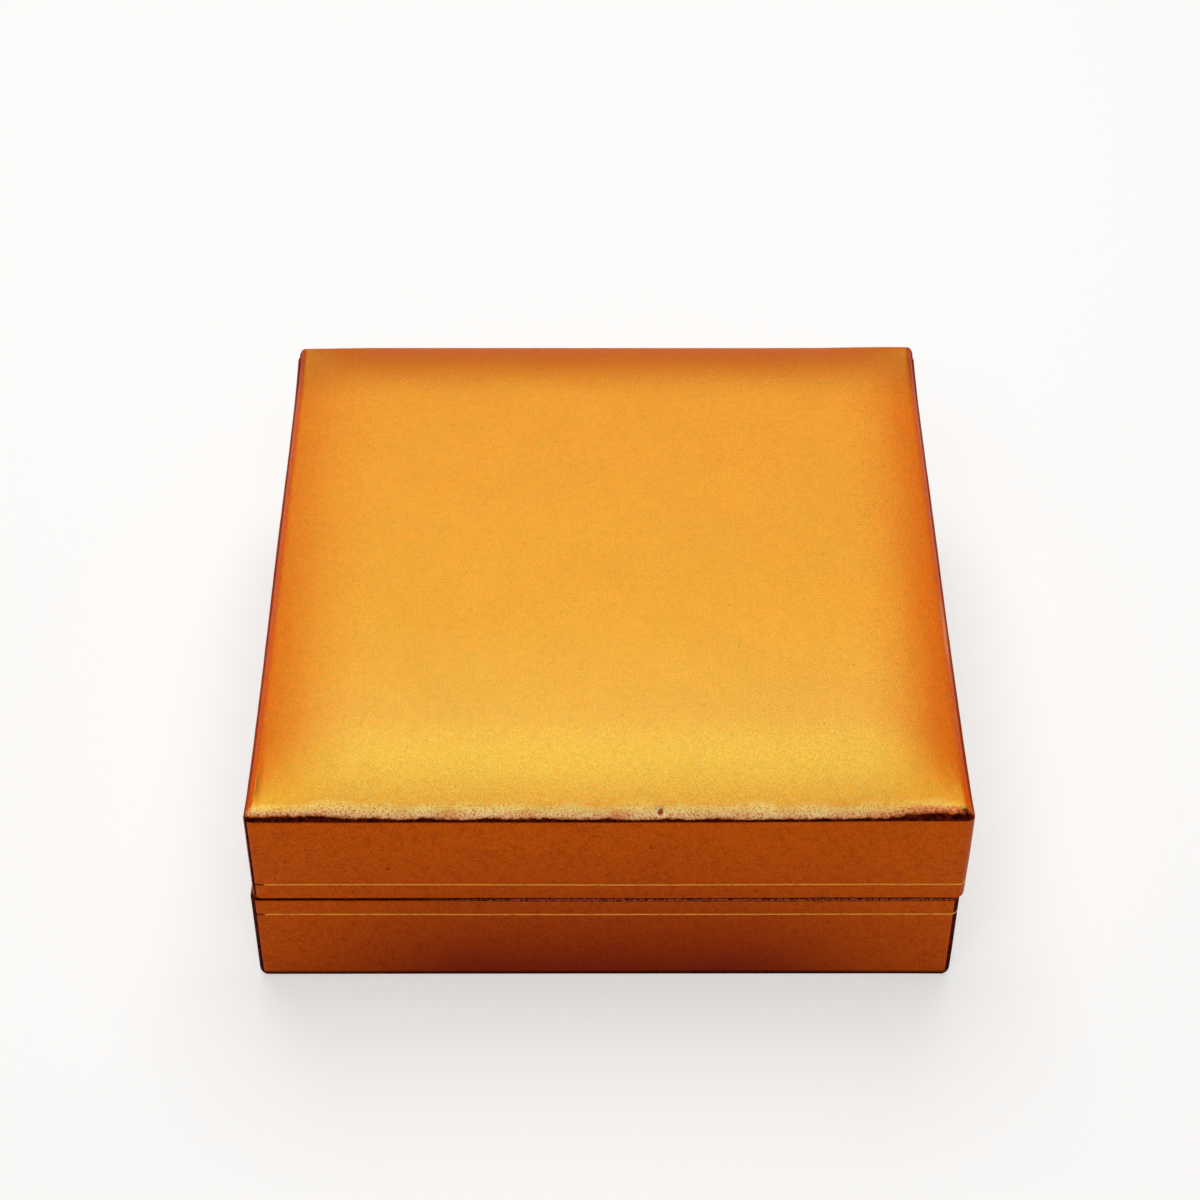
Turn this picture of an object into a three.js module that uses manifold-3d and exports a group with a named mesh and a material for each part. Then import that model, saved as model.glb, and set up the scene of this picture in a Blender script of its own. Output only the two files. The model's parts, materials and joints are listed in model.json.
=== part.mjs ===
// A square necklace box: a base and a padded lid, both covered in leatherette, on two sprung hinges.
// Millimetres. X points right, -Y to the front and +Z up.
// The origin is on the table, under the middle of the base.

import * as THREE from "three";
import { mergeVertices } from "three/addons/utils/BufferGeometryUtils.js";
import Module from "manifold-3d";

const wasm = await Module();
wasm.setup();

// Outside of the closed case
const caseWidth = 150;
const caseDepth = 150;
const baseHeight = 26.4;
const lidWallHeight = 24.4;
const seamGap = 0.3;
const cornerRadius = 2;
const footRadius = 1.2;
const rimRadius = 0.8;
const deckEdgeRadius = 0.9;

// Leatherette, its glue and how far it is turned in
const coverThick = 0.5;
const glueGap = 0.1;
const turnUnder = 12;
const turnIn = 15;

// Moulded shells
const baseWall = 2.2;
const floorThick = 2;
const deckThick = 1.6;

// Sheet under the base
const footSheetThick = 0.4;
const footSheetInset = 3;

// Lining strips; those of the base stand above its rim as a collar for the lid
const liningThick = 1.2;
const liningRound = 0.4;
const collarHeight = 3;
const collarClearance = 1.1;
const lidShiftShare = 0.65;

// Padded panel on the lid
const panelInset = 0.8;
const panelBoardThick = 1;
const panelTurn = 9;
const panelCrown = 4.2;
const panelCrownSpread = 55;
const panelCrownRound = 14;

// Padded lining under the lid's deck
const cushionBoardThick = 1.2;
const satinThick = 0.4;
const cushionEdge = 3;
const cushionCrown = 5;
const cushionSpread = 58;
const cushionRound = 18;
const cushionTurn = 7;

// Pad in the base
const padBoardThick = 2;
const velvetThick = 0.6;
const padFit = 0.5;
const padEdgeRadius = 1.6;
const padCrown = 0.7;
const padCrownSpread = 40;
const padClearance = 0.65;
const slitWidth = 1.2;
const slitDepth = 6;
const chainSlitLength = 14;
const earringSlitLength = 6;
const chainSlitShares = { x: 0.56, y: 0.66 };
const earringSlitShares = { x: 0.2, y: 0.12 };

// Hinges, with their places measured in from the sides of the case
const hingeInset = 30;
const hingeWidth = 14;
const knuckleCount = 3;
const leafThick = 0.8;
const leafEdge = 1.2;
const pinOffset = 0.3;
const pinRadius = 0.6;
const pinProud = 0.5;
const boreClearance = 0.12;
const knuckleWall = 0.6;
const runningGap = 0.3;
const seatGap = 0.1;
const lugRise = 8;
const lugDepth = 1.6;
const springWidth = 8;
const springThick = 0.5;
const springRun = 2.2;
const springBulge = 5;
const rivetSpacing = 8;
const rivetRadius = 0.9;
const rivetHeadRadius = 1.6;
const rivetHeadHeight = 0.5;
const rivetSpace = 0.4;

// How finely curves are divided, and how far a cutting tool runs past what it cuts
const cornerSteps = 4;
const edgeSteps = 3;
const crownSteps = 8;
const bowSteps = 14;
const rodSides = 16;
const leastRadius = 0.2;
const overrun = 1;

// The crown is a power curve, steep at the edge and level inside
const crownShares = { fullness: 2.5, roundness: 0.5, gathering: 1.7 };

// Heights and insets that follow from the sizes above
const baseBottom = footSheetThick + glueGap;
const skin = coverThick + glueGap;
const floorTop = baseBottom + skin + floorThick;
const baseShellInside = skin + baseWall;
const baseCoverInside = baseShellInside + skin;
const baseLiningInset = baseCoverInside + glueGap;
const lidWall = glueGap + baseWall - collarClearance;
const lidShellInside = skin + lidWall;
const lidCoverInside = lidShellInside + skin;
const lidLiningInset = lidCoverInside + glueGap;
const lidSideShift = lidShiftShare * collarClearance;
const deckTop = lidWallHeight - skin;
const deckUnder = deckTop - deckThick;
const lidLiningStart = collarHeight - seamGap + collarClearance;

// Outlines in plan: the base and the lid's wall share one, and the panel stands in from it
const caseOutline = { halfX: caseWidth / 2, halfY: caseDepth / 2, radius: cornerRadius };
const panelOutline = drawnIn(caseOutline, panelInset);

// Hinge places; rises are measured up or down from the pin
const knuckleGap = lidSideShift + runningGap;
const windowClearance = knuckleGap;
const boreRadius = pinRadius + boreClearance;
const knuckleRadius = boreRadius + knuckleWall;
const pinY = caseOutline.halfY + pinOffset;
const pinZ = baseHeight + seamGap / 2;
const pinLength = hingeWidth + 2 * pinProud;
const windowWidth = pinLength + 2 * windowClearance;
const hookRise = lugRise + (leafThick + springThick) / 2 + seatGap;
const rivetRise = hookRise + springThick / 2 + rivetSpace + rivetHeadRadius;
const leafReach = rivetRise + rivetHeadRadius + leafEdge;
const padTop = pinZ - hookRise - springThick / 2 - padClearance;

// An outline drawn in on every side
function drawnIn(outline, inset) {
  return {
    halfX: outline.halfX - inset,
    halfY: outline.halfY - inset,
    radius: Math.max(outline.radius - inset, leastRadius),
  };
}

// One level of a loft: an outline drawn in by inset, at height z
function level(outline, inset, z) {
  return { ...drawnIn(outline, inset), z };
}

// Levels that turn round an edge. Quarters count from straight out (0) to up (1), in (2) and down (3)
function turned(outline, centreInset, centreZ, radius, fromQuarter, toQuarter) {
  const levels = [];
  for (let step = 0; step <= edgeSteps; step += 1) {
    const quarter = fromQuarter + ((toQuarter - fromQuarter) * step) / edgeSteps;
    const angle = (quarter * Math.PI) / 2;
    const inset = centreInset - radius * Math.cos(angle);
    levels.push(level(outline, inset, centreZ + radius * Math.sin(angle)));
  }
  return levels;
}

// The radius of a hidden face that lies under a rounded one
function under(radius, depth) {
  return Math.max(radius - depth, leastRadius);
}

// Levels over a pillow, from its edge to its plateau, rising (or hanging, when rise is negative)
function crowned(outline, edgeZ, rise, spread, round) {
  const { fullness, roundness, gathering } = crownShares;
  const levels = [];
  for (let step = 0; step <= crownSteps; step += 1) {
    const share = (step / crownSteps) ** gathering;
    const height = (1 - (1 - share) ** fullness) ** roundness;
    levels.push({
      halfX: outline.halfX - spread * share,
      halfY: outline.halfY - spread * share,
      radius: outline.radius + round * share,
      z: edgeZ + rise * height,
    });
  }
  return levels;
}

// The points of one level, counter-clockwise from its right side
function loopPoints({ halfX, halfY, radius, z }) {
  const points = [];
  for (let corner = 0; corner < 4; corner += 1) {
    const signX = corner === 0 || corner === 3 ? 1 : -1;
    const signY = corner < 2 ? 1 : -1;
    for (let step = 0; step <= cornerSteps; step += 1) {
      const angle = ((corner + step / cornerSteps) * Math.PI) / 2;
      const x = signX * (halfX - radius) + radius * Math.cos(angle);
      const y = signY * (halfY - radius) + radius * Math.sin(angle);
      points.push(new THREE.Vector3(x, y, z));
    }
  }
  return points;
}

// A solid through levels that run up its outside and down its inside.
// A ring's last level joins its first; otherwise both ends are closed flat.
function loft(levels, isRing = false) {
  const loops = levels.map(loopPoints);
  const count = loops[0].length;
  const points = loops.flat();
  const index = [];
  const bands = isRing ? loops.length : loops.length - 1;
  for (let band = 0; band < bands; band += 1) {
    const low = band * count;
    const high = ((band + 1) % loops.length) * count;
    for (let i = 0; i < count; i += 1) {
      const next = (i + 1) % count;
      index.push(low + i, low + next, high + next);
      index.push(low + i, high + next, high + i);
    }
  }
  if (!isRing) {
    const last = (loops.length - 1) * count;
    const lowCentre = points.push(new THREE.Vector3(0, 0, levels[0].z)) - 1;
    const highCentre = points.push(new THREE.Vector3(0, 0, levels.at(-1).z)) - 1;
    for (let i = 0; i < count; i += 1) {
      const next = (i + 1) % count;
      index.push(lowCentre, next, i);
      index.push(highCentre, last + i, last + next);
    }
  }
  const geometry = new THREE.BufferGeometry().setFromPoints(points);
  geometry.setIndex(index);
  geometry.computeVertexNormals();
  return geometry;
}

// A three.js geometry as a solid for cutting and joining, and back again
function solidOf(geometry) {
  const bare = new THREE.BufferGeometry();
  bare.setAttribute("position", geometry.getAttribute("position"));
  bare.setIndex(geometry.getIndex());
  const merged = mergeVertices(bare);
  const vertProperties = merged.getAttribute("position").array;
  const triVerts = new Uint32Array(merged.getIndex().array);
  return new wasm.Manifold(new wasm.Mesh({ numProp: 3, vertProperties, triVerts }));
}

function geometryOf(solid) {
  const { vertProperties, triVerts } = solid.getMesh();
  const geometry = new THREE.BufferGeometry();
  geometry.setAttribute("position", new THREE.BufferAttribute(vertProperties, 3));
  geometry.setIndex(new THREE.BufferAttribute(triVerts, 1));
  geometry.computeVertexNormals();
  return geometry;
}

function joined(geometries) {
  return geometryOf(geometries.map(solidOf).reduce((whole, more) => whole.add(more)));
}

function cut(geometry, tools) {
  return geometryOf(tools.map(solidOf).reduce((rest, tool) => rest.subtract(tool), solidOf(geometry)));
}

// A block between two corners
function block(lowX, highX, lowY, highY, lowZ, highZ) {
  const geometry = new THREE.BoxGeometry(highX - lowX, highY - lowY, highZ - lowZ);
  return geometry.translate((lowX + highX) / 2, (lowY + highY) / 2, (lowZ + highZ) / 2);
}

// A round rod along X, centred on the place given
function rodAlongX(radius, length, x = 0, y = 0, z = 0) {
  const geometry = new THREE.CylinderGeometry(radius, radius, length, rodSides);
  return geometry.rotateZ(Math.PI / 2).translate(x, y, z);
}

// A round rod along Y between two places
function rodAlongY(radius, lowY, highY, x, z) {
  const geometry = new THREE.CylinderGeometry(radius, radius, highY - lowY, rodSides);
  return geometry.translate(x, (lowY + highY) / 2, z);
}

// A section drawn in Y and Z, carried along X and centred on it
function prismAlongX(section, width) {
  const geometry = new THREE.ExtrudeGeometry(section, {
    depth: width,
    bevelEnabled: false,
    curveSegments: cornerSteps,
  });
  const upright = new THREE.Matrix4().makeBasis(
    new THREE.Vector3(0, 1, 0),
    new THREE.Vector3(0, 0, 1),
    new THREE.Vector3(1, 0, 0),
  );
  return geometry.applyMatrix4(upright).translate(-width / 2, 0, 0);
}

// The places of the two hinges along X
const hingePlaces = { left: hingeInset - caseWidth / 2, right: caseWidth / 2 - hingeInset };

// Materials, in the colours of the photograph where it shows them
function finish(color, roughness, metalness) {
  return () => new THREE.MeshStandardMaterial({ color, roughness, metalness });
}

const leatherette = finish("#dd8a2a", 0.42, 0.35);
const mouldedBoard = finish("#8c7a62", 0.8, 0);
const greyCard = finish("#9b958a", 0.9, 0);
const foam = finish("#d9d2c2", 0.95, 0);
const velvet = finish("#efe6d6", 0.95, 0);
const satin = finish("#f4ecdf", 0.5, 0);
const underPaper = finish("#5b2410", 0.85, 0);
const brassedSteel = finish("#c9a24a", 0.3, 0.9);
const springSteel = finish("#b9b9b4", 0.28, 0.95);

function piece(name, geometry, material) {
  const mesh = new THREE.Mesh(geometry, material());
  mesh.name = name;
  return mesh;
}

// Openings for the hinges in a wall: a round pocket for the knuckles and a slot for the bent leaf.
// Heights are measured from the pin, and side is -1 in the base and 1 in the lid
function hingeOpenings(side, wallInsideY, z) {
  const tools = [];
  const outside = caseOutline.halfY + overrun;
  const rim = (side * seamGap) / 2;
  const slotEnd = rim + side * (leafThick + seatGap);
  const past = -side * (seamGap + overrun);
  for (const x of Object.values(hingePlaces)) {
    const lowZ = z + Math.min(slotEnd, past);
    const highZ = z + Math.max(slotEnd, past);
    const left = x - windowWidth / 2;
    tools.push(block(left, left + windowWidth, wallInsideY - overrun, outside, lowZ, highZ));
    tools.push(rodAlongX(knuckleRadius + runningGap, windowWidth, x, pinY, z));
  }
  return tools;
}

// Holes for the rivets of one wall
function rivetHoles(lowY, highY, z) {
  const tools = [];
  for (const x of Object.values(hingePlaces)) {
    for (const sign of [-1, 1]) {
      const rivetX = x + (sign * rivetSpacing) / 2;
      tools.push(rodAlongY(rivetRadius + seatGap, lowY, highY, rivetX, z));
    }
  }
  return tools;
}

// The base's leatherette: round the outside, under the floor, over the rim and down inside it
function baseCover() {
  const outline = caseOutline;
  const bottom = baseBottom;
  const rimZ = baseHeight - rimRadius;
  const innerRim = baseCoverInside - rimRadius;
  const footZ = bottom + footRadius;
  const hiddenRim = under(rimRadius, coverThick);
  const hiddenFoot = under(footRadius, coverThick);
  const ring = loft(
    [
      ...turned(outline, footRadius, footZ, footRadius, -1, 0),
      ...turned(outline, rimRadius, rimZ, rimRadius, 0, 1),
      ...turned(outline, innerRim, rimZ, rimRadius, 1, 2),
      level(outline, baseCoverInside, baseHeight - turnIn),
      level(outline, baseCoverInside - coverThick, baseHeight - turnIn),
      ...turned(outline, innerRim, rimZ, hiddenRim, 2, 1),
      ...turned(outline, rimRadius, rimZ, hiddenRim, 1, 0),
      ...turned(outline, footRadius, footZ, hiddenFoot, 0, -1),
      level(outline, turnUnder, footZ - hiddenFoot),
      level(outline, turnUnder, bottom),
    ],
    true,
  );
  const insideY = outline.halfY - baseCoverInside;
  const shellY = outline.halfY - skin;
  return cut(ring, [
    ...hingeOpenings(-1, insideY, pinZ),
    ...rivetHoles(insideY - overrun, shellY, pinZ - rivetRise),
  ]);
}

// The base's tray
function baseShell() {
  const outline = caseOutline;
  const rimZ = baseHeight - rimRadius;
  const footZ = baseBottom + footRadius;
  const shellFoot = under(footRadius, skin);
  const shellRim = under(rimRadius, skin);
  const tray = loft([
    ...turned(outline, footRadius, footZ, shellFoot, -1, 0),
    ...turned(outline, rimRadius, rimZ, shellRim, 0, 1),
    ...turned(outline, baseCoverInside - rimRadius, rimZ, shellRim, 1, 2),
    level(outline, baseShellInside, floorTop),
  ]);
  const insideY = outline.halfY - baseShellInside;
  return cut(tray, [
    ...hingeOpenings(-1, insideY, pinZ),
    ...rivetHoles(insideY - overrun, outline.halfY, pinZ - rivetRise),
  ]);
}

// The sheet glued under the base
function footSheet() {
  const outline = drawnIn(caseOutline, footSheetInset);
  return loft([level(outline, 0, 0), level(outline, 0, footSheetThick)]);
}

// A lining strip along X with rounded long edges, its outer face at y = 0 and its body toward +Y
function liningStrip(length, lowZ, highZ) {
  const round = Math.min(liningRound, liningThick / 2);
  const section = new THREE.Shape();
  section.moveTo(0, lowZ + round);
  section.absarc(round, lowZ + round, round, Math.PI, (3 * Math.PI) / 2);
  section.absarc(liningThick - round, lowZ + round, round, (3 * Math.PI) / 2, 2 * Math.PI);
  section.absarc(liningThick - round, highZ - round, round, 0, Math.PI / 2);
  section.absarc(round, highZ - round, round, Math.PI / 2, Math.PI);
  return prismAlongX(section, length);
}

// Four lining strips round the inside of a wall; the side strips stand between the other two
function linings(prefix, inset, lowZ, highZ, windows) {
  const faceX = caseOutline.halfX - inset;
  const faceY = caseOutline.halfY - inset;
  const sideLength = 2 * (faceY - liningThick - glueGap);
  const strips = {
    front: liningStrip(2 * faceX, lowZ, highZ).translate(0, -faceY, 0),
    back: liningStrip(2 * faceX, lowZ, highZ).rotateZ(Math.PI).translate(0, faceY, 0),
    left: liningStrip(sideLength, lowZ, highZ).rotateZ(-Math.PI / 2).translate(-faceX, 0, 0),
    right: liningStrip(sideLength, lowZ, highZ).rotateZ(Math.PI / 2).translate(faceX, 0, 0),
  };
  strips.back = cut(strips.back, windows);
  return Object.entries(strips).map(([side, geometry]) =>
    piece(`${prefix}_lining_${side}`, geometry, velvet),
  );
}

// Windows in a back lining strip where the leaves lie against the wall
function leafWindows(faceY, lowZ, highZ) {
  return Object.values(hingePlaces).map((x) => {
    const left = x - windowWidth / 2;
    const insideY = faceY - liningThick - overrun;
    return block(left, left + windowWidth, insideY, faceY + overrun, lowZ, highZ);
  });
}

function baseLinings() {
  const lowZ = floorTop + glueGap;
  const highZ = baseHeight + collarHeight;
  const faceY = caseOutline.halfY - baseLiningInset;
  const windowZ = pinZ - leafReach - windowClearance;
  const windows = leafWindows(faceY, windowZ, highZ + overrun);
  return linings("base", baseLiningInset, lowZ, highZ, windows);
}

function lidLinings() {
  const highZ = deckUnder - glueGap;
  const faceY = caseOutline.halfY - lidLiningInset;
  const windowZ = leafReach - seamGap / 2 + windowClearance;
  const windows = leafWindows(faceY, lidLiningStart - overrun, windowZ);
  return linings("lid", lidLiningInset, lidLiningStart, highZ, windows);
}

// The pad's outline: it stops short of the lining, and of the rivet heads at the back
function padOutline() {
  const liningFace = baseLiningInset + liningThick;
  const rivetFace = baseLiningInset + leafThick + seatGap + rivetHeadHeight;
  const inset = Math.max(liningFace, rivetFace) + padFit;
  return drawnIn(caseOutline, inset);
}

// Slits through the pad: two slanted ones for the chain and two for earrings
function padSlits(outline) {
  const tools = [];
  const slits = [
    { length: chainSlitLength, shares: chainSlitShares, slant: Math.PI / 4 },
    { length: earringSlitLength, shares: earringSlitShares, slant: 0 },
  ];
  for (const { length, shares, slant } of slits) {
    for (const sign of [-1, 1]) {
      const slit = new THREE.BoxGeometry(length, slitWidth, 2 * slitDepth);
      slit.rotateZ(-sign * slant);
      slit.translate(sign * outline.halfX * shares.x, outline.halfY * shares.y, padTop);
      tools.push(slit);
    }
  }
  return tools;
}

const padBottom = floorTop + glueGap;
const padFoamBottom = padBottom + padBoardThick + glueGap;

function insertBoard() {
  const outline = drawnIn(padOutline(), velvetThick + glueGap);
  return loft([level(outline, 0, padBottom), level(outline, 0, padBottom + padBoardThick)]);
}

// The pad's top, a low crown with rounded edges, at a depth under the velvet's face
function padTopLevels(outline, depth) {
  const radius = padEdgeRadius - depth;
  const edgeZ = padTop - padCrown - padEdgeRadius;
  const shoulder = drawnIn(outline, padEdgeRadius);
  return [
    ...turned(outline, padEdgeRadius, edgeZ, radius, 0, 1),
    ...crowned(shoulder, edgeZ + radius, padCrown, padCrownSpread, 0).slice(1),
  ];
}

function insertFoam() {
  const outline = padOutline();
  const depth = velvetThick + glueGap;
  const body = loft([level(outline, depth, padFoamBottom), ...padTopLevels(outline, depth)]);
  return cut(body, padSlits(outline));
}

function insertVelvet() {
  const outline = padOutline();
  const body = loft([
    ...padTopLevels(outline, velvetThick).reverse(),
    level(outline, velvetThick, padBottom),
    level(outline, 0, padBottom),
    ...padTopLevels(outline, 0),
  ]);
  return cut(body, padSlits(outline));
}

// The lid's pieces are drawn from the lid's own rim, at z = 0

// The lid's leatherette: up the wall, in over the deck, and over the rim to the inside
function lidWallCover() {
  const outline = caseOutline;
  const innerRim = lidCoverInside - rimRadius;
  const deckZ = lidWallHeight - deckEdgeRadius;
  const hiddenRim = under(rimRadius, coverThick);
  const hiddenDeck = under(deckEdgeRadius, coverThick);
  const ring = loft(
    [
      ...turned(outline, rimRadius, rimRadius, rimRadius, -1, 0),
      ...turned(outline, deckEdgeRadius, deckZ, deckEdgeRadius, 0, 1),
      level(outline, turnUnder, lidWallHeight),
      level(outline, turnUnder, lidWallHeight - coverThick),
      ...turned(outline, deckEdgeRadius, deckZ, hiddenDeck, 1, 0),
      ...turned(outline, rimRadius, rimRadius, hiddenRim, 0, -1),
      ...turned(outline, innerRim, rimRadius, hiddenRim, 3, 2),
      level(outline, lidCoverInside - coverThick, turnIn),
      level(outline, lidCoverInside, turnIn),
      ...turned(outline, innerRim, rimRadius, rimRadius, 2, 3),
    ],
    true,
  );
  const insideY = outline.halfY - lidCoverInside;
  const shellY = outline.halfY - skin;
  return cut(ring, [
    ...hingeOpenings(1, insideY, -seamGap / 2),
    ...rivetHoles(insideY - overrun, shellY, rivetRise - seamGap / 2),
  ]);
}

// The lid's moulded wall and deck
function lidShell() {
  const outline = caseOutline;
  const shellRim = under(rimRadius, skin);
  const shellDeck = under(deckEdgeRadius, skin);
  const frame = loft([
    level(outline, lidShellInside, deckUnder),
    ...turned(outline, lidCoverInside - rimRadius, rimRadius, shellRim, 2, 3),
    ...turned(outline, rimRadius, rimRadius, shellRim, -1, 0),
    ...turned(outline, deckEdgeRadius, lidWallHeight - deckEdgeRadius, shellDeck, 0, 1),
  ]);
  const insideY = outline.halfY - lidShellInside;
  return cut(frame, [
    ...hingeOpenings(1, insideY, -seamGap / 2),
    ...rivetHoles(insideY - overrun, outline.halfY, rivetRise - seamGap / 2),
  ]);
}

// Heights in the padded panel
const panelBottom = lidWallHeight + glueGap;
const panelBoardZ = panelBottom + skin;
const panelEdgeZ = panelBoardZ + panelBoardThick + glueGap;
const panelTuck = panelEdgeZ - panelBottom;

function panelBoard() {
  const outline = drawnIn(panelOutline, panelTuck + glueGap);
  return loft([level(outline, 0, panelBoardZ), level(outline, 0, panelBoardZ + panelBoardThick)]);
}

// The panel's crown at a depth under its face
function panelLevels(depth) {
  const outline = drawnIn(panelOutline, depth);
  const spread = panelCrownSpread - depth;
  return crowned(outline, panelEdgeZ, panelCrown - depth, spread, panelCrownRound);
}

function panelFoam() {
  return loft(panelLevels(skin));
}

// The panel's leatherette, drawn in at the edge and turned under the board
function panelCover() {
  const outline = panelOutline;
  return loft([
    ...panelLevels(coverThick).reverse(),
    ...turned(outline, panelTuck, panelEdgeZ, panelTuck - coverThick, 0, -1).slice(1),
    level(outline, panelTurn, panelBottom + coverThick),
    level(outline, panelTurn, panelBottom),
    ...turned(outline, panelTuck, panelEdgeZ, panelTuck, -1, 0).slice(0, -1),
    ...panelLevels(0),
  ]);
}

// The padded lining hangs under the deck, crown down
const cushionTop = deckUnder - glueGap;
const cushionBoardTop = cushionTop - satinThick - glueGap;
const cushionFoamTop = cushionBoardTop - cushionBoardThick - glueGap;
const cushionEdgeZ = cushionFoamTop - cushionEdge;
const cushionOutline = drawnIn(caseOutline, lidLiningInset + liningThick + padFit);

function cushionLevels(depth) {
  const outline = drawnIn(cushionOutline, depth);
  return crowned(outline, cushionEdgeZ, depth - cushionCrown, cushionSpread - depth, cushionRound);
}

function cushionBoard() {
  const outline = drawnIn(cushionOutline, satinThick + glueGap);
  return loft([
    level(outline, 0, cushionBoardTop - cushionBoardThick),
    level(outline, 0, cushionBoardTop),
  ]);
}

function cushionFoam() {
  const depth = satinThick + glueGap;
  return loft([...cushionLevels(depth).reverse(), level(cushionOutline, depth, cushionFoamTop)]);
}

function cushionSatin() {
  return loft([
    ...cushionLevels(0).reverse(),
    level(cushionOutline, 0, cushionTop),
    level(cushionOutline, cushionTurn, cushionTop),
    level(cushionOutline, cushionTurn, cushionTop - satinThick),
    level(cushionOutline, satinThick, cushionTop - satinThick),
    ...cushionLevels(satinThick),
  ]);
}

// Hinge pieces are drawn from the pin. Side is -1 for the base's leaf and 1 for the lid's.

// How far the inner face of a leaf's plate lies in front of the pin
function plateFace(side) {
  const wallInside = side < 0 ? baseCoverInside : lidCoverInside;
  return caseOutline.halfY - wallInside - glueGap - leafThick - pinY;
}

// The x stretches of the knuckles: two outer ones on the base's leaf and one between them on the lid's
const knuckleLength = (hingeWidth - (knuckleCount - 1) * knuckleGap) / knuckleCount;
const outerKnuckleX = knuckleLength + knuckleGap;
const knucklePlaces = { base: [-outerKnuckleX, outerKnuckleX], lid: [0] };

// A leaf: a plate on the wall, bent out over the rim to its knuckles, with a lug for the spring
function leaf(side) {
  const inner = plateFace(side);
  const outer = inner + leafThick;
  const rim = (side * seamGap) / 2;
  const bend = rim + side * leafThick;
  const section = new THREE.Shape();
  section.moveTo(0, rim);
  section.lineTo(outer, rim);
  section.absarc(outer, bend, leafThick, (-side * Math.PI) / 2, side * Math.PI, side > 0);
  section.lineTo(inner, side * leafReach);
  section.lineTo(outer, side * leafReach);
  section.lineTo(outer, bend);
  section.lineTo(0, bend);
  const own = side < 0 ? knucklePlaces.base : knucklePlaces.lid;
  const others = side < 0 ? knucklePlaces.lid : knucklePlaces.base;
  const lugX = springWidth / 2;
  const lugLow = side * lugRise - leafThick / 2;
  const lug = block(-lugX, lugX, inner - lugDepth, outer, lugLow, lugLow + leafThick);
  const knuckles = own.map((x) => rodAlongX(knuckleRadius, knuckleLength, x));
  const body = joined([prismAlongX(section, hingeWidth), lug, ...knuckles]);
  const freeLength = knuckleLength + 2 * knuckleGap;
  const notches = others.map((x) => rodAlongX(knuckleRadius + runningGap, freeLength, x));
  const bore = rodAlongX(boreRadius, pinLength);
  const holes = [-1, 1].map((sign) => {
    const x = (sign * rivetSpacing) / 2;
    return rodAlongY(rivetRadius + seatGap, inner - overrun, outer + overrun, x, side * rivetRise);
  });
  return cut(body, [...notches, bore, ...holes]);
}

// The bow spring: a strip that hooks behind both lugs and bulges in toward the jewellery
function bowSpring() {
  const start = plateFace(-1) - springRun;
  const middle = [new THREE.Vector2(plateFace(-1) - seatGap, -hookRise)];
  for (let step = 0; step <= bowSteps; step += 1) {
    const angle = (step / bowSteps - 1 / 2) * Math.PI;
    const y = start - springBulge * Math.cos(angle);
    middle.push(new THREE.Vector2(y, hookRise * Math.sin(angle)));
  }
  middle.push(new THREE.Vector2(plateFace(1) - seatGap, hookRise));
  const faces = { inner: [], outer: [] };
  middle.forEach((point, i) => {
    const before = middle[Math.max(i - 1, 0)];
    const after = middle[Math.min(i + 1, middle.length - 1)];
    const along = after.clone().sub(before).normalize();
    const across = new THREE.Vector2(-along.y, along.x).multiplyScalar(springThick / 2);
    faces.inner.push(point.clone().add(across));
    faces.outer.push(point.clone().sub(across));
  });
  const section = new THREE.Shape([...faces.inner, ...faces.outer.reverse()]);
  return prismAlongX(section, springWidth);
}

// A rivet whose shank ends inside the wall, with a low domed head on the leaf
function rivet(side) {
  const shellY = caseOutline.halfY - skin;
  const length = shellY - pinY - plateFace(side) + seatGap;
  const profile = [
    new THREE.Vector2(0, 0),
    new THREE.Vector2(rivetRadius, 0),
    new THREE.Vector2(rivetRadius, length),
    new THREE.Vector2(rivetHeadRadius, length),
  ];
  for (let step = 1; step <= edgeSteps; step += 1) {
    const angle = ((step / edgeSteps) * Math.PI) / 2;
    const radius = rivetHeadRadius * Math.cos(angle);
    profile.push(new THREE.Vector2(step < edgeSteps ? radius : 0, length + rivetHeadHeight * Math.sin(angle)));
  }
  const geometry = new THREE.LatheGeometry(profile, rodSides);
  return geometry.rotateX(Math.PI).translate(0, shellY - pinY, 0);
}

// One hinge: the pieces that stay with the base and those that turn with the lid
function hinge(name, x) {
  const onBase = new THREE.Group();
  onBase.add(piece(`hinge_${name}_base_leaf`, leaf(-1), brassedSteel));
  onBase.add(piece(`hinge_${name}_pin`, rodAlongX(pinRadius, pinLength), springSteel));
  onBase.add(piece(`hinge_${name}_spring`, bowSpring(), springSteel));
  const onLid = new THREE.Group();
  onLid.add(piece(`hinge_${name}_lid_leaf`, leaf(1), brassedSteel));
  for (const [end, sign] of [["left", -1], ["right", 1]]) {
    for (const [half, side, group] of [["base", -1, onBase], ["lid", 1, onLid]]) {
      const mesh = piece(`hinge_${name}_${half}_rivet_${end}`, rivet(side), brassedSteel);
      mesh.position.set((sign * rivetSpacing) / 2, 0, side * rivetRise);
      group.add(mesh);
    }
  }
  onBase.position.set(x, pinY, pinZ);
  onLid.position.set(x, pinY, -seamGap / 2);
  return { onBase, onLid };
}

const base = new THREE.Group();
base.add(piece("base_underside", footSheet(), underPaper));
base.add(piece("base_cover", baseCover(), leatherette));
base.add(piece("base_shell", baseShell(), mouldedBoard));
base.add(...baseLinings());
base.add(piece("insert_board", insertBoard(), greyCard));
base.add(piece("insert_foam", insertFoam(), foam));
base.add(piece("insert_velvet", insertVelvet(), velvet));

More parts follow.
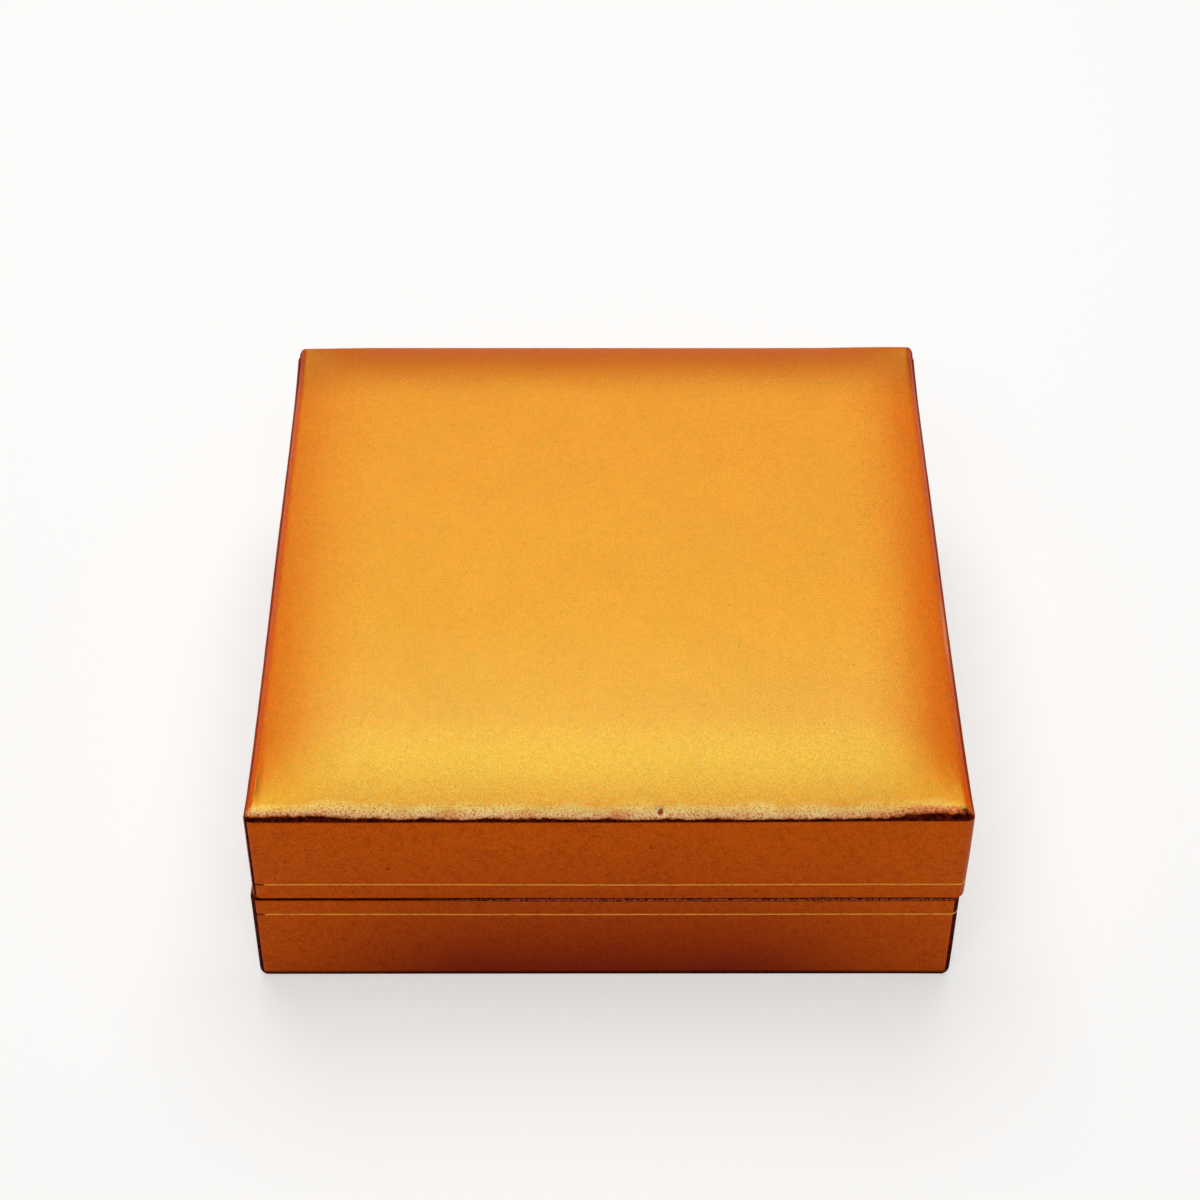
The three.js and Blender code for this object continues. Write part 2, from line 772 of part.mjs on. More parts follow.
const lid = new THREE.Group();
lid.add(piece("lid_shell", lidShell(), mouldedBoard));
lid.add(piece("lid_wall_cover", lidWallCover(), leatherette));
lid.add(...lidLinings());
lid.add(piece("top_panel_board", panelBoard(), greyCard));
lid.add(piece("top_panel_foam", panelFoam(), foam));
lid.add(piece("top_panel_cover", panelCover(), leatherette));
lid.add(piece("lid_cushion_board", cushionBoard(), greyCard));
lid.add(piece("lid_cushion_foam", cushionFoam(), foam));
lid.add(piece("lid_cushion_satin", cushionSatin(), satin));
lid.position.set(lidSideShift, 0, baseHeight + seamGap);

for (const [name, x] of Object.entries(hingePlaces)) {
  const { onBase, onLid } = hinge(name, x);
  base.add(onBase);
  lid.add(onLid);
}

const necklaceBox = new THREE.Group();
necklaceBox.add(base, lid);

export default necklaceBox;
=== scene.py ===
"""A square necklace box in gold-orange leatherette, with a padded lid, gold rules and sprung hinges."""

import json

import bmesh
import bpy
import numpy as np
from mathutils import Matrix, Vector


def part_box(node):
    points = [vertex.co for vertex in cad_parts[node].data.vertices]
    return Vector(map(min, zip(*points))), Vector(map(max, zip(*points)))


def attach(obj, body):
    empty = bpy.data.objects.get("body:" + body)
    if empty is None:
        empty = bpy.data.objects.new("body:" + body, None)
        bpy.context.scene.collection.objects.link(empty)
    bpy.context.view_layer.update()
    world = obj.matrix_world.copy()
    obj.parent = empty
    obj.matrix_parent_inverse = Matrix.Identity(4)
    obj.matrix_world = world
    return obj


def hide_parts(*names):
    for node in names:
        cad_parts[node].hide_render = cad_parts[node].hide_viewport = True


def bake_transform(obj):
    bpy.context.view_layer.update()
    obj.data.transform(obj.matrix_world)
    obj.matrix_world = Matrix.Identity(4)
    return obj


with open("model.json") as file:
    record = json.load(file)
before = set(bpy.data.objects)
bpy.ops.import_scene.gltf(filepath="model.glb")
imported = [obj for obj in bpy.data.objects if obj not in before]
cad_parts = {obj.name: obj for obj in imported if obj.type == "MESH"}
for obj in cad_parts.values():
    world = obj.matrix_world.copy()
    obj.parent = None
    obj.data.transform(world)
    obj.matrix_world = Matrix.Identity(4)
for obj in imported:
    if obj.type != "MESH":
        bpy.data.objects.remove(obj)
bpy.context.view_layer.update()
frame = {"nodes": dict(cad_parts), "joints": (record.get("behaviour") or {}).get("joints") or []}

MM = 0.001
nodes = frame["nodes"]


def corners_of(node):
    """The lowest and highest corner of a CAD node, in metres."""
    return [np.array(corner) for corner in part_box(node)]


# Places and sizes taken from the frame, in metres
LID_LOW, LID_HIGH = corners_of("lid_wall_cover")
BASE_LOW, BASE_HIGH = corners_of("base_cover")
PANEL_LOW, PANEL_HIGH = corners_of("top_panel_cover")
PAD_LOW, PAD_HIGH = corners_of("insert_velvet")
CUSHION_LOW, CUSHION_HIGH = corners_of("lid_cushion_satin")
PIN = np.array(frame["joints"][0]["pos_m"])
SIDES = ("left", "right")

# The leatherette's folds
SKIN = 0.5 * MM
CORNER = 2.0 * MM
RIM_ROUND = 0.8 * MM
FOOT_ROUND = 1.2 * MM
DECK_ROUND = 0.6 * MM
LEAST_ROUND = 0.2 * MM
TURN_IN = 15 * MM
TURN_UNDER = 12 * MM
LID_WALL = 2.6 * MM
WALL_PROUD = 0.45 * MM
BASE_WALL = 3.2 * MM

# The stamped rules
RULE_WIDTH = 0.42 * MM
RULE_DEPTH = 0.07 * MM
RULE_STOP = CORNER + 1 * MM
FOIL_FACE = RULE_DEPTH - 0.035 * MM
FOIL_BACK = RULE_DEPTH + 0.03 * MM
LID_RULE_Z = LID_LOW[2] + 4.85 * MM
BASE_RULE_Z = BASE_HIGH[2] - 4.70 * MM
RULE_GAP = 2.6 * MM


# Making meshes

CORNER_SIGNS = np.array([(1, 1), (-1, 1), (-1, -1), (1, -1)], float)


def mesh_piece(name, points, faces, body, material):
    """A finished piece from an array of points and an array of faces with equal corners."""
    mesh = bpy.data.meshes.new(name)
    points = np.asarray(points, np.float32).reshape(-1, 3)
    faces = np.asarray(faces, np.int32)
    corners = faces.shape[1]
    mesh.vertices.add(len(points))
    mesh.vertices.foreach_set("co", points.ravel())
    mesh.loops.add(faces.size)
    mesh.loops.foreach_set("vertex_index", faces.ravel())
    mesh.polygons.add(len(faces))
    mesh.polygons.foreach_set("loop_start", np.arange(0, faces.size, corners, dtype=np.int32))
    mesh.update(calc_edges=True)
    mesh.polygons.foreach_set("use_smooth", np.ones(len(faces), bool))
    piece = bpy.data.objects.new(name, mesh)
    bpy.context.scene.collection.objects.link(piece)
    mesh.materials.append(material)
    if body:
        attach(piece, body)
    return piece


def grid_faces(rows, columns, wrap_rows=False, wrap_columns=True):
    """Quads of a grid of points, row after row, joined round where asked."""
    down = np.arange(rows if wrap_rows else rows - 1)
    across = np.arange(columns if wrap_columns else columns - 1)
    i, j = np.meshgrid(down, across, indexing="ij")
    next_i = (i + 1) % rows
    next_j = (j + 1) % columns
    quads = [i * columns + j, i * columns + next_j, next_i * columns + next_j, next_i * columns + j]
    return np.stack(quads, -1).reshape(-1, 4)


def capped(piece, *rings):
    """Closes rings of points, given in the order that faces outward, with one smooth face each."""
    work = bmesh.new()
    work.from_mesh(piece.data)
    work.verts.ensure_lookup_table()
    for ring in rings:
        work.faces.new([work.verts[int(i)] for i in ring]).smooth = True
    work.to_mesh(piece.data)
    work.free()


def mark(piece, **layers):
    """Numbers on every point, for the materials to read."""
    for name, values in layers.items():
        layer = piece.data.attributes.new(name, "FLOAT", "POINT")
        layer.data.foreach_set("value", np.asarray(values, np.float32).ravel())


def waves(points, length, seed, count=10):
    """Smooth bumps about 1 high: cosines in random directions, with wavelengths near length."""
    dice = np.random.default_rng(seed)
    directions = dice.normal(size=(count, points.shape[-1]))
    directions /= np.linalg.norm(directions, axis=1, keepdims=True)
    rates = 2 * np.pi / (length * dice.uniform(0.6, 1.7, count))
    phases = dice.uniform(0, 2 * np.pi, count)
    flat = points.reshape(-1, points.shape[-1])
    bumps = np.cos(flat @ (directions * rates[:, None]).T + phases).sum(-1) / np.sqrt(count)
    return bumps.reshape(points.shape[:-1])


def step_up(values, low, high):
    """0 below low, 1 above high and a smooth rise between."""
    share = np.clip((values - low) / (high - low), 0, 1)
    return share * share * (3 - 2 * share)


def step_down(values, low, high):
    """1 below low, 0 above high and a smooth fall between."""
    return step_up(-values, -high, -low)


def bump_at(values, middle, width):
    """1 at the middle, falling off as a bell of that half width."""
    return np.exp(-((values - middle) / width) ** 2)


def columns_round(per_side, per_corner, extra=((), (), (), ())):
    """Columns round a rounded rectangle, from the right side's back end by way of the back, left and front.

    Each has the place of its arc's centre, from -1 to 1 in X and Y, and the way out that it faces. Columns
    are closer together near the corners, and extra adds more to a side, as shares of that side."""
    places, angles = [], []
    even = np.linspace(0, 1, per_side + 1)
    even = (even + (1 - np.cos(np.pi * even)) / 2) / 2
    for k, start in enumerate(CORNER_SIGNS):
        end = CORNER_SIGNS[(k + 1) % 4]
        turn = np.linspace(k, k + 1, per_corner + 1) * np.pi / 2
        share = np.union1d(even, extra[k])[1:-1]
        places += [np.tile(start, (len(turn), 1)), start + (end - start) * share[:, None]]
        angles += [turn, np.full(len(share), (k + 1) * np.pi / 2)]
    angles = np.concatenate(angles)
    return np.concatenate(places), np.stack([np.cos(angles), np.sin(angles)], -1)


def carried_round(outline, inset, z, columns):
    """A profile carried round a rounded rectangle: points[level, column]."""
    centre, half, radius = outline
    places, out = columns
    inset = np.asarray(inset)[:, None]
    round_ = np.maximum(radius - inset, LEAST_ROUND)
    x = (half[0] - inset - round_) * places[:, 0] + round_ * out[:, 0] + centre[0]
    y = (half[1] - inset - round_) * places[:, 1] + round_ * out[:, 1] + centre[1]
    z = np.broadcast_to(np.asarray(z)[:, None], x.shape)
    return np.stack([x, y, z], -1)


def pillow_grid(half, corner, edge, spacing, extra=()):
    """A square grid over a rounded outline, with its lines closest together near the border.

    In a corner the grid's shares of the corner are drawn onto the quarter circle: each is shortened by
    the root of one less half of the other's square. Returns x, y and the distance in from the outline."""
    near = edge * (1 - np.cos(np.linspace(0, np.pi / 2, 13)))[:-1]
    lines = []
    for reach, more in zip(half, (extra, ())):
        inside = np.union1d(np.linspace(edge - reach, reach - edge, int(2 * reach / spacing)), more)
        lines.append(np.concatenate([near - reach, inside, (reach - near)[::-1]]))
    x, y = np.meshgrid(*lines)
    u = np.clip((np.abs(x) - half[0] + corner) / corner, 0, 1)
    v = np.clip((np.abs(y) - half[1] + corner) / corner, 0, 1)
    x = x - np.sign(x) * corner * u * (1 - np.sqrt(1 - v * v / 2))
    y = y - np.sign(y) * corner * v * (1 - np.sqrt(1 - u * u / 2))
    over = np.stack([np.abs(x) - half[0] + corner, np.abs(y) - half[1] + corner], -1)
    inward = corner - np.linalg.norm(np.clip(over, 0, None), axis=-1) - np.minimum(over.max(-1), 0)
    return x, y, np.clip(inward, 0, None)


def border_columns(x, y, half, corner):
    """The columns that carry a profile on from the border of a pillow's grid, and the border's numbers."""
    numbers = np.arange(x.size).reshape(x.shape)
    border = np.concatenate([numbers[0, :-1], numbers[:-1, -1], numbers[-1, :0:-1], numbers[:0:-1, 0]])
    edge = np.stack([x.ravel()[border], y.ravel()[border]], -1)
    flat = half - corner
    out = np.sign(edge) * np.clip(np.abs(edge) - flat, 0, None)
    return (np.clip(edge / flat, -1, 1), out / np.linalg.norm(out, axis=1, keepdims=True)), border


def pillow_piece(name, top, border, skirt, body, material, hangs=False):
    """One closed piece from a grid of points, the levels of its skirt and a flat face inside their last."""
    rows, count = top.shape[:2]
    rings = np.arange(skirt[..., 0].size).reshape(skirt.shape[:2]) + rows * count
    rings = np.concatenate([border[None], rings])
    upper, lower = rings[:-1], rings[1:]
    sides = np.stack([upper, lower, np.roll(lower, -1, 1), np.roll(upper, -1, 1)], -1).reshape(-1, 4)
    faces = np.concatenate([grid_faces(rows, count, wrap_columns=False), sides])
    points = np.concatenate([top.reshape(-1, 3), skirt.reshape(-1, 3)])
    if hangs:
        faces = faces[:, ::-1]
    piece = mesh_piece(name, points, faces, body, material)
    capped(piece, rings[-1] if hangs else rings[-1][::-1])
    return piece, points


def arc(inset, z, radius, start, end, count=7):
    """Profile points round an edge. Angles are in quarters: out 0, up 1, in 2, down 3."""
    angle = np.linspace(start, end, count) * np.pi / 2
    return np.stack([inset - radius * np.cos(angle), z + radius * np.sin(angle)], -1)


def line(start, end, spacing):
    """Profile points between two places, both ends left out."""
    start, end = np.array(start), np.array(end)
    count = max(int(np.linalg.norm(end - start) / spacing), 1) + 1
    return start + (end - start) * np.linspace(0, 1, count + 1)[1:-1, None]


def outline_of(low, high, radius=CORNER):
    """The centre, half sizes and corner radius of a wall's outline."""
    return ((low + high) / 2)[:2], ((high - low) / 2)[:2], radius


LID_OUTLINE = outline_of(LID_LOW, LID_HIGH)
BASE_OUTLINE = outline_of(BASE_LOW, BASE_HIGH)


# Materials


def linear(hex_colour):
    """An sRGB hex colour as the linear colour that a shader takes."""
    parts = np.array([int(hex_colour[i:i + 2], 16) / 255 for i in (1, 3, 5)])
    parts = np.where(parts <= 0.04045, parts / 12.92, ((parts + 0.055) / 1.055) ** 2.4)
    return (*parts, 1.0)


def feed(node, inputs):
    """Fills a node's inputs, by name or number, each from another node, a hex colour or a plain value."""
    for socket, source in inputs.items():
        if isinstance(source, bpy.types.NodeSocket):
            node.id_data.links.new(source, node.inputs[socket])
        else:
            node.inputs[socket].default_value = linear(source) if isinstance(source, str) else source


def add(tree, kind, inputs=None, out=0, **settings):
    """Adds one shader node with its settings and what feeds it, and gives one of its outputs."""
    node = tree.nodes.new("ShaderNode" + kind)
    for key, value in settings.items():
        setattr(node, key, value)
    feed(node, inputs or {})
    return node.outputs[out]


def new_material(name, **sockets):
    """A material with its node tree, its shader with these values on it, and the place on the object."""
    material = bpy.data.materials.new(name)
    material.use_nodes = True
    tree = material.node_tree
    shader = tree.nodes["Principled BSDF"]
    feed(shader, {socket.replace("_", " "): value for socket, value in sockets.items()})
    return material, tree, shader, add(tree, "TexCoord", out="Object")


def layered(tree, ground, layers):
    """A ground colour with tones laid over it in turn.

    A layer is (amount, pattern, low, high, most, tone). It covers by its amount, times a share that goes
    from 0 where the pattern is at low to most where it is at high."""
    for amount, pattern, low, high, most, tone in layers:
        share = add(tree, "MapRange", {"Value": pattern, "From Min": low, "From Max": high, "To Max": most})
        share = add(tree, "Math", {0: amount, 1: share}, operation="MULTIPLY", use_clamp=True)
        ground = add(tree, "Mix", {0: share, 6: ground, 7: tone}, out=2, data_type="RGBA")
    return ground


# The middle of a pattern's range, where its value is most of the time
MIDDLE = {"From Min": 0.3, "From Max": 0.7}
# Patterns of the leatherette: the size of their grains in mm, their detail and their roughness
CLOUD = (24, 2, 0.5)
MOTTLE = (1.4, 3, 0.6)
FUZZ = (0.42, 3, 0.75)
SPECKS = (2.1, 2, 0.5)
# The marks the leatherette reads: painted shade, a painted paler sheen, scuffed print, rubbed paper and
# painted glints, and painted near-black shade in folds and seams
LEATHER_MARKS = ("soil", "faded", "worn", "bare", "grime")


def leatherette(name, tones, gloss, index, level, grain_mm, depth_mm):
    """Metallic-printed leatherette paper: a clear orange ground under a pearly gold print.

    The print shows as a soft yellow gloss and the ground as deep orange where no light strikes back. The
    embossed grain is 0.2 to 0.3 mm in real paper and is drawn at grain_mm, as coarse as it needs to show.
    The marks, in the order of LEATHER_MARKS, lay on painted shade in brown, a painted paler sheen, the
    red-brown of scuffed print, rubbed pale paper and painted glints along the base's rim, and painted
    near-black shade in a fold or seam."""
    material, tree, shader, place = new_material(
        name, IOR=index, Specular_IOR_Level=level, Specular_Tint=gloss
    )
    soil, faded, worn, bare, grime = (
        add(tree, "Attribute", out="Fac", attribute_name=marked) for marked in LEATHER_MARKS
    )
    cloud, mottle, grain, fuzz, specks = (
        add(tree, "TexNoise", {"Vector": place, "Scale": 1000 / size, "Detail": detail, "Roughness": rough})
        for size, detail, rough in (CLOUD, MOTTLE, (grain_mm, 2, 0.65), FUZZ, SPECKS)
    )
    ground = layered(tree, tones[0], [
        (1, cloud, 0.35, 0.65, 1, tones[1]),
        (1, mottle, 0.45, 0.72, 0.75, tones[2]),
        (1, grain, 0.46, 0.68, 0.75, tones[3]),
        # painted shade, brown
        (soil, 1, 0, 1, 1, "#7c0a00"),
        # a painted paler sheen
        (faded, fuzz, 0.42, 0.60, 1, "#d9c39a"),
        (worn, fuzz, 0.57, 0.45, 1, "#86360c"),
        # rubbed pale paper, and painted glints
        (bare, fuzz, 0.385, 0.53, 1, "#ffdc9a"),
        (1, specks, 0.765, 0.80, 0.8, "#4a1203"),
        # painted shade, near black, in folds, seams and along the foot
        (grime, 1, 0, 1, 1, "#1a0401"),
    ])
    rough = add(tree, "MapRange", {"Value": mottle, **MIDDLE, "To Min": 0.30, "To Max": 0.37})
    rough = add(tree, "Math", {0: grime, 1: 0.5, 2: rough}, operation="MULTIPLY_ADD", use_clamp=True)
    height = add(tree, "Math", {0: bare, 1: fuzz, 2: grain}, operation="MULTIPLY_ADD")
    relief = add(tree, "Bump", {"Height": height, "Distance": depth_mm * MM, "Strength": 0.7})
    feed(shader, {"Base Color": ground, "Roughness": rough, "Normal": relief})
    return material


def fold_shadow():
    """Painted shade for leatherette deep in a fold or seam: dull and nearly black, with browner patches.

    The mark for rubbed paper and glints shows painted red-brown glints here."""
    material, tree, shader, place = new_material(
        "soiled_leatherette_fold", Roughness=0.9, Specular_IOR_Level=0.02
    )
    patches = add(tree, "TexNoise", {"Vector": place, "Scale": 1000 / 0.9, "Detail": 3, "Roughness": 0.7})
    fuzz = add(tree, "TexNoise", {"Vector": place, "Scale": 1000 / 0.45, "Roughness": 0.75})
    bare = add(tree, "Attribute", out="Fac", attribute_name="bare")
    colour = layered(tree, "#240502", [
        (1, patches, 0.42, 0.68, 1, "#6e1c0b"),
        (bare, fuzz, 0.42, 0.55, 1, "#cc5a34"),
    ])
    relief = add(tree, "Bump", {"Height": patches, "Distance": 0.08 * MM, "Strength": 0.4})
    feed(shader, {"Base Color": colour, "Normal": relief})
    return material


def gold_foil():
    """Hot-stamped gold foil in the pressed rules: bright yellow metal, faintly broken every 1.6 mm or so."""
    material, tree, shader, place = new_material("hot_stamped_gold_foil", Metallic=0.55)
    breaks = add(tree, "TexNoise", {"Vector": place, "Scale": 1000 / 1.6, "Detail": 3, "Roughness": 0.7})
    colour = layered(tree, "#f09c20", [(1, breaks, 0.5, 0.75, 1, "#b86a12")])
    rough = add(tree, "MapRange", {"Value": breaks, **MIDDLE, "To Min": 0.40, "To Max": 0.52})
    feed(shader, {"Base Color": colour, "Roughness": rough})
    return material


def velvet(name, light, dark):
    """Short-pile velvet: pale, matt, with a soft sheen at grazing angles and brushed patches.

    The pile's tufts are about 0.15 mm and are drawn at 0.5 mm, so that they show. Mark deep shows the shade
    at the bottom of a slit."""
    material, tree, shader, place = new_material(
        name, Roughness=0.95, Sheen_Weight=0.45, Sheen_Roughness=0.4, Specular_IOR_Level=0.1
    )
    brushed = add(tree, "TexNoise", {"Vector": place, "Scale": 1000 / 22, "Detail": 3})
    pile = add(tree, "TexNoise", {"Vector": place, "Scale": 1000 / 0.5, "Roughness": 0.6})
    deep = add(tree, "Attribute", out="Fac", attribute_name="deep")
    colour = layered(tree, light, [
        (1, brushed, 0.35, 0.65, 1, dark),
        (1, pile, 0.5, 0.8, 0.4, dark),
        (deep, 1, 0, 1, 1, "#54462f"),
    ])
    relief = add(tree, "Bump", {"Height": pile, "Distance": 0.12 * MM, "Strength": 0.6})
    feed(shader, {"Base Color": colour, "Normal": relief})
    return material


def satin():
    """Polyester satin: smooth float yarns that shine along one way, in ivory.

    Real yarns are about 0.1 mm across. They are drawn 0.33 mm across and 4 mm long, so that they show."""
    material, tree, shader, place = new_material("polyester_satin", Sheen_Weight=0.2, Specular_IOR_Level=0.6)
    along = add(tree, "Mapping", {"Vector": place, "Scale": (1, 12, 12)})
    yarn = add(tree, "TexNoise", {"Vector": along, "Scale": 1000 / 4, "Detail": 3, "Roughness": 0.6})
    cloud = add(tree, "TexNoise", {"Vector": place, "Scale": 1000 / 18})
    colour = layered(tree, "#f3e9d7", [(1, cloud, 0.35, 0.65, 1, "#eee1ca")])
    rough = add(tree, "MapRange", {"Value": yarn, **MIDDLE, "To Min": 0.30, "To Max": 0.46})
    relief = add(tree, "Bump", {"Height": yarn, "Distance": 0.05 * MM, "Strength": 0.35})
    feed(shader, {"Base Color": colour, "Roughness": rough, "Normal": relief})
    return material


def plain_board(name, light, dark, size_mm, rough):
    """Board, moulding or paper: two near tones in grains of one size, matt."""
    material, tree, shader, place = new_material(name, Roughness=rough)
    grains = add(tree, "TexNoise", {"Vector": place, "Scale": 1000 / size_mm, "Detail": 3, "Roughness": 0.6})
    colour = layered(tree, light, [(1, grains, 0.35, 0.65, 1, dark)])
    relief = add(tree, "Bump", {"Height": grains, "Distance": 0.06 * MM, "Strength": 0.4})
    feed(shader, {"Base Color": colour, "Normal": relief})
    return material


def plated_metal(name, light, dark, rough):
    """Plated or bright steel, with fine rolling lines and slight tarnish.

    The rolling lines are hair-fine on real strip and are drawn 0.3 mm across, so that they show."""
    material, tree, shader, place = new_material(name, Metallic=1.0)
    along = add(tree, "Mapping", {"Vector": place, "Scale": (1, 10, 10)})
    rolled = add(tree, "TexNoise", {"Vector": along, "Scale": 1000 / 3, "Detail": 3, "Roughness": 0.6})
    tarnish = add(tree, "TexNoise", {"Vector": place, "Scale": 1000 / 2.5, "Detail": 3, "Roughness": 0.6})
    colour = layered(tree, light, [(1, tarnish, 0.45, 0.75, 1, dark)])
    dulled = add(tree, "MapRange", {"Value": rolled, **MIDDLE, "To Min": rough * 0.8, "To Max": rough * 1.3})
    relief = add(tree, "Bump", {"Height": rolled, "Distance": 0.01 * MM, "Strength": 0.3})
    feed(shader, {"Base Color": colour, "Roughness": dulled, "Normal": relief})
    return material


PANEL_TONES = ("#da4e04", "#d44a03", "#c04202", "#ee8006")
WALL_TONES = ("#c85100", "#c24c00", "#a33900", "#d96702")
# Sound print on the padding: full pearl, so a soft yellow-green gloss wherever the light strikes back
PANEL_LEATHERETTE = leatherette(
    "padded_leatherette", PANEL_TONES, gloss="#b6ff50", index=1.85, level=0.70, grain_mm=0.3, depth_mm=0.14
)
# Beside a rubbed edge: most of the pearl is worn off, so only a hint of gloss
EDGE_LEATHERETTE = leatherette(
    "softly_rubbed_leatherette", PANEL_TONES,
    gloss="#e1f96c", index=1.6, level=0.12, grain_mm=0.3, depth_mm=0.12,
)
# On a rubbed edge: no pearl is left, so it is matt
RUBBED_LEATHERETTE = leatherette(
    "rubbed_edge_leatherette", PANEL_TONES, gloss="#ffe295", index=1.5, level=0.0, grain_mm=0.3, depth_mm=0.08
)
# Stretched over the walls: a flatter, darker print with very little gloss
WALL_LEATHERETTE = leatherette(
    "wall_leatherette", WALL_TONES, gloss="#fff33f", index=1.5, level=0.04, grain_mm=0.36, depth_mm=0.09
)
# Painted shade: near-black leatherette put on faces deep in folds, seams and dents, and along the foot
FOLD_SHADOW = fold_shadow()
GOLD_FOIL = gold_foil()
VELVET = velvet("ivory_velvet", "#efe5d1", "#e6d9c0")
SATIN = satin()
# Brown moulding, slightly shiny, with slow flow marks
SHELL_PLASTIC = plain_board("moulded_polystyrene", "#8c7a62", "#7d6b55", size_mm=6, rough=0.5)
# Pulp board: grey, dead matt and flecked
CARD = plain_board("grey_board", "#a29c91", "#8f897e", size_mm=1.2, rough=0.9)
# Dark uncoated paper under the box
UNDER_PAPER = plain_board("dark_base_paper", "#5b2a14", "#4a1f0e", size_mm=1.5, rough=0.85)
# Thin brass plating: warm yellow, browned here and there
BRASSED = plated_metal("brass_plated_steel", "#d9b35a", "#a37a2c", rough=0.28)
# Bare spring steel: bright, a little greyed
SPRING = plated_metal("bright_spring_steel", "#c6c6c0", "#abaaa4", rough=0.3)


def refinish(piece, values, material):
    """Gives the faces whose points are mostly past nought another finish."""
    mesh = piece.data
    mesh.materials.append(material)
    corners = np.zeros(len(mesh.loops), np.int32)
    starts = np.zeros(len(mesh.polygons), np.int32)
    mesh.loops.foreach_get("vertex_index", corners)
    mesh.polygons.foreach_get("loop_start", starts)
    sums = np.add.reduceat(np.asarray(values).ravel()[corners], starts)
    mean = sums / np.diff(np.append(starts, len(corners)))
    slots = np.zeros(len(starts), np.int32)
    mesh.polygons.foreach_get("material_index", slots)
    slots[mean > 0] = len(mesh.materials) - 1
    mesh.polygons.foreach_set("material_index", slots)


# The two leather walls

# The hinge openings: room at each end, the pocket's radius, half the slot's height, and how close together
# the two columns of points at each end are
WINDOW_ROOM = 0.8 * MM
POCKET = 1.62 * MM
SLOT = 1.05 * MM
EDGE_PAIR = 0.02 * MM
# How close together the profiles' points are, and how far the closest go on past a rule's middle
CLOSE, MEDIUM, WIDE = 0.07 * MM, 0.6 * MM, 1.0 * MM
RULE_ZONE = 1 * MM
# The laps of the covering: by body, the corner, the share of its turn and how wide the groove is
FOLDS = {
    "lid": ((0, 0.62, 6), (1, 0.38, 6), (2, 0.50, 12)),
    "base": ((0, 0.62, 6), (1, 0.38, 6), (2, 0.38, 30), (3, 0.60, 30)),
}
LAP_DEPTH = 0.08 * MM
LAP_FOOT, LAP_FLOOR = 1.25, 0.8    # half widths of the groove, in degrees of the corner's turn
SIDE_BOW = 0.45 * MM
# How far the lid's wall stands up at its right front corner
TOP_LIFT = 0.42 * MM
# Height and length of the faint swells and ripples in the glued paper
SWELL, SWELL_LENGTH = 0.05 * MM, 45 * MM
RIPPLE, RIPPLE_LENGTH = 0.010 * MM, 9 * MM


def hinge_spans():
    """The stretches along X in which the walls open for the hinges."""
    boxes = [corners_of(f"hinge_{side}_pin") for side in SIDES]
    return [(low[0] - WINDOW_ROOM, high[0] + WINDOW_ROOM) for low, high in boxes]


def in_windows(points):
    """Where a point is in a hinge opening along X."""
    x = points[..., 0]
    half_pair = EDGE_PAIR / 2
    return sum((x > low - half_pair) & (x < high + half_pair) for low, high in hinge_spans()) > 0


def window_shares(outline):
    """Two columns close together at each end of each hinge opening, as shares of the back side."""
    centre, half, radius = outline
    reach = half[0] - radius
    ends = np.array([(low - EDGE_PAIR, low, high, high + EDGE_PAIR) for low, high in hinge_spans()]).ravel()
    return (reach - (ends - centre[0])) / (2 * reach)


def unevenness(points, side):
    """How far a wall's face stands out at each point: long swells and short ones in the glued paper."""
    swells = SWELL * waves(points, SWELL_LENGTH, 3 + side)
    return swells + RIPPLE * waves(points, RIPPLE_LENGTH, 7 + side)


def side_bow(y):
    """How far a side draws in at a place along it: nothing at its corners and level between them."""
    return SIDE_BOW * (1 - np.clip(np.abs(y) / LID_OUTLINE[1][1], 0, 1) ** 8)


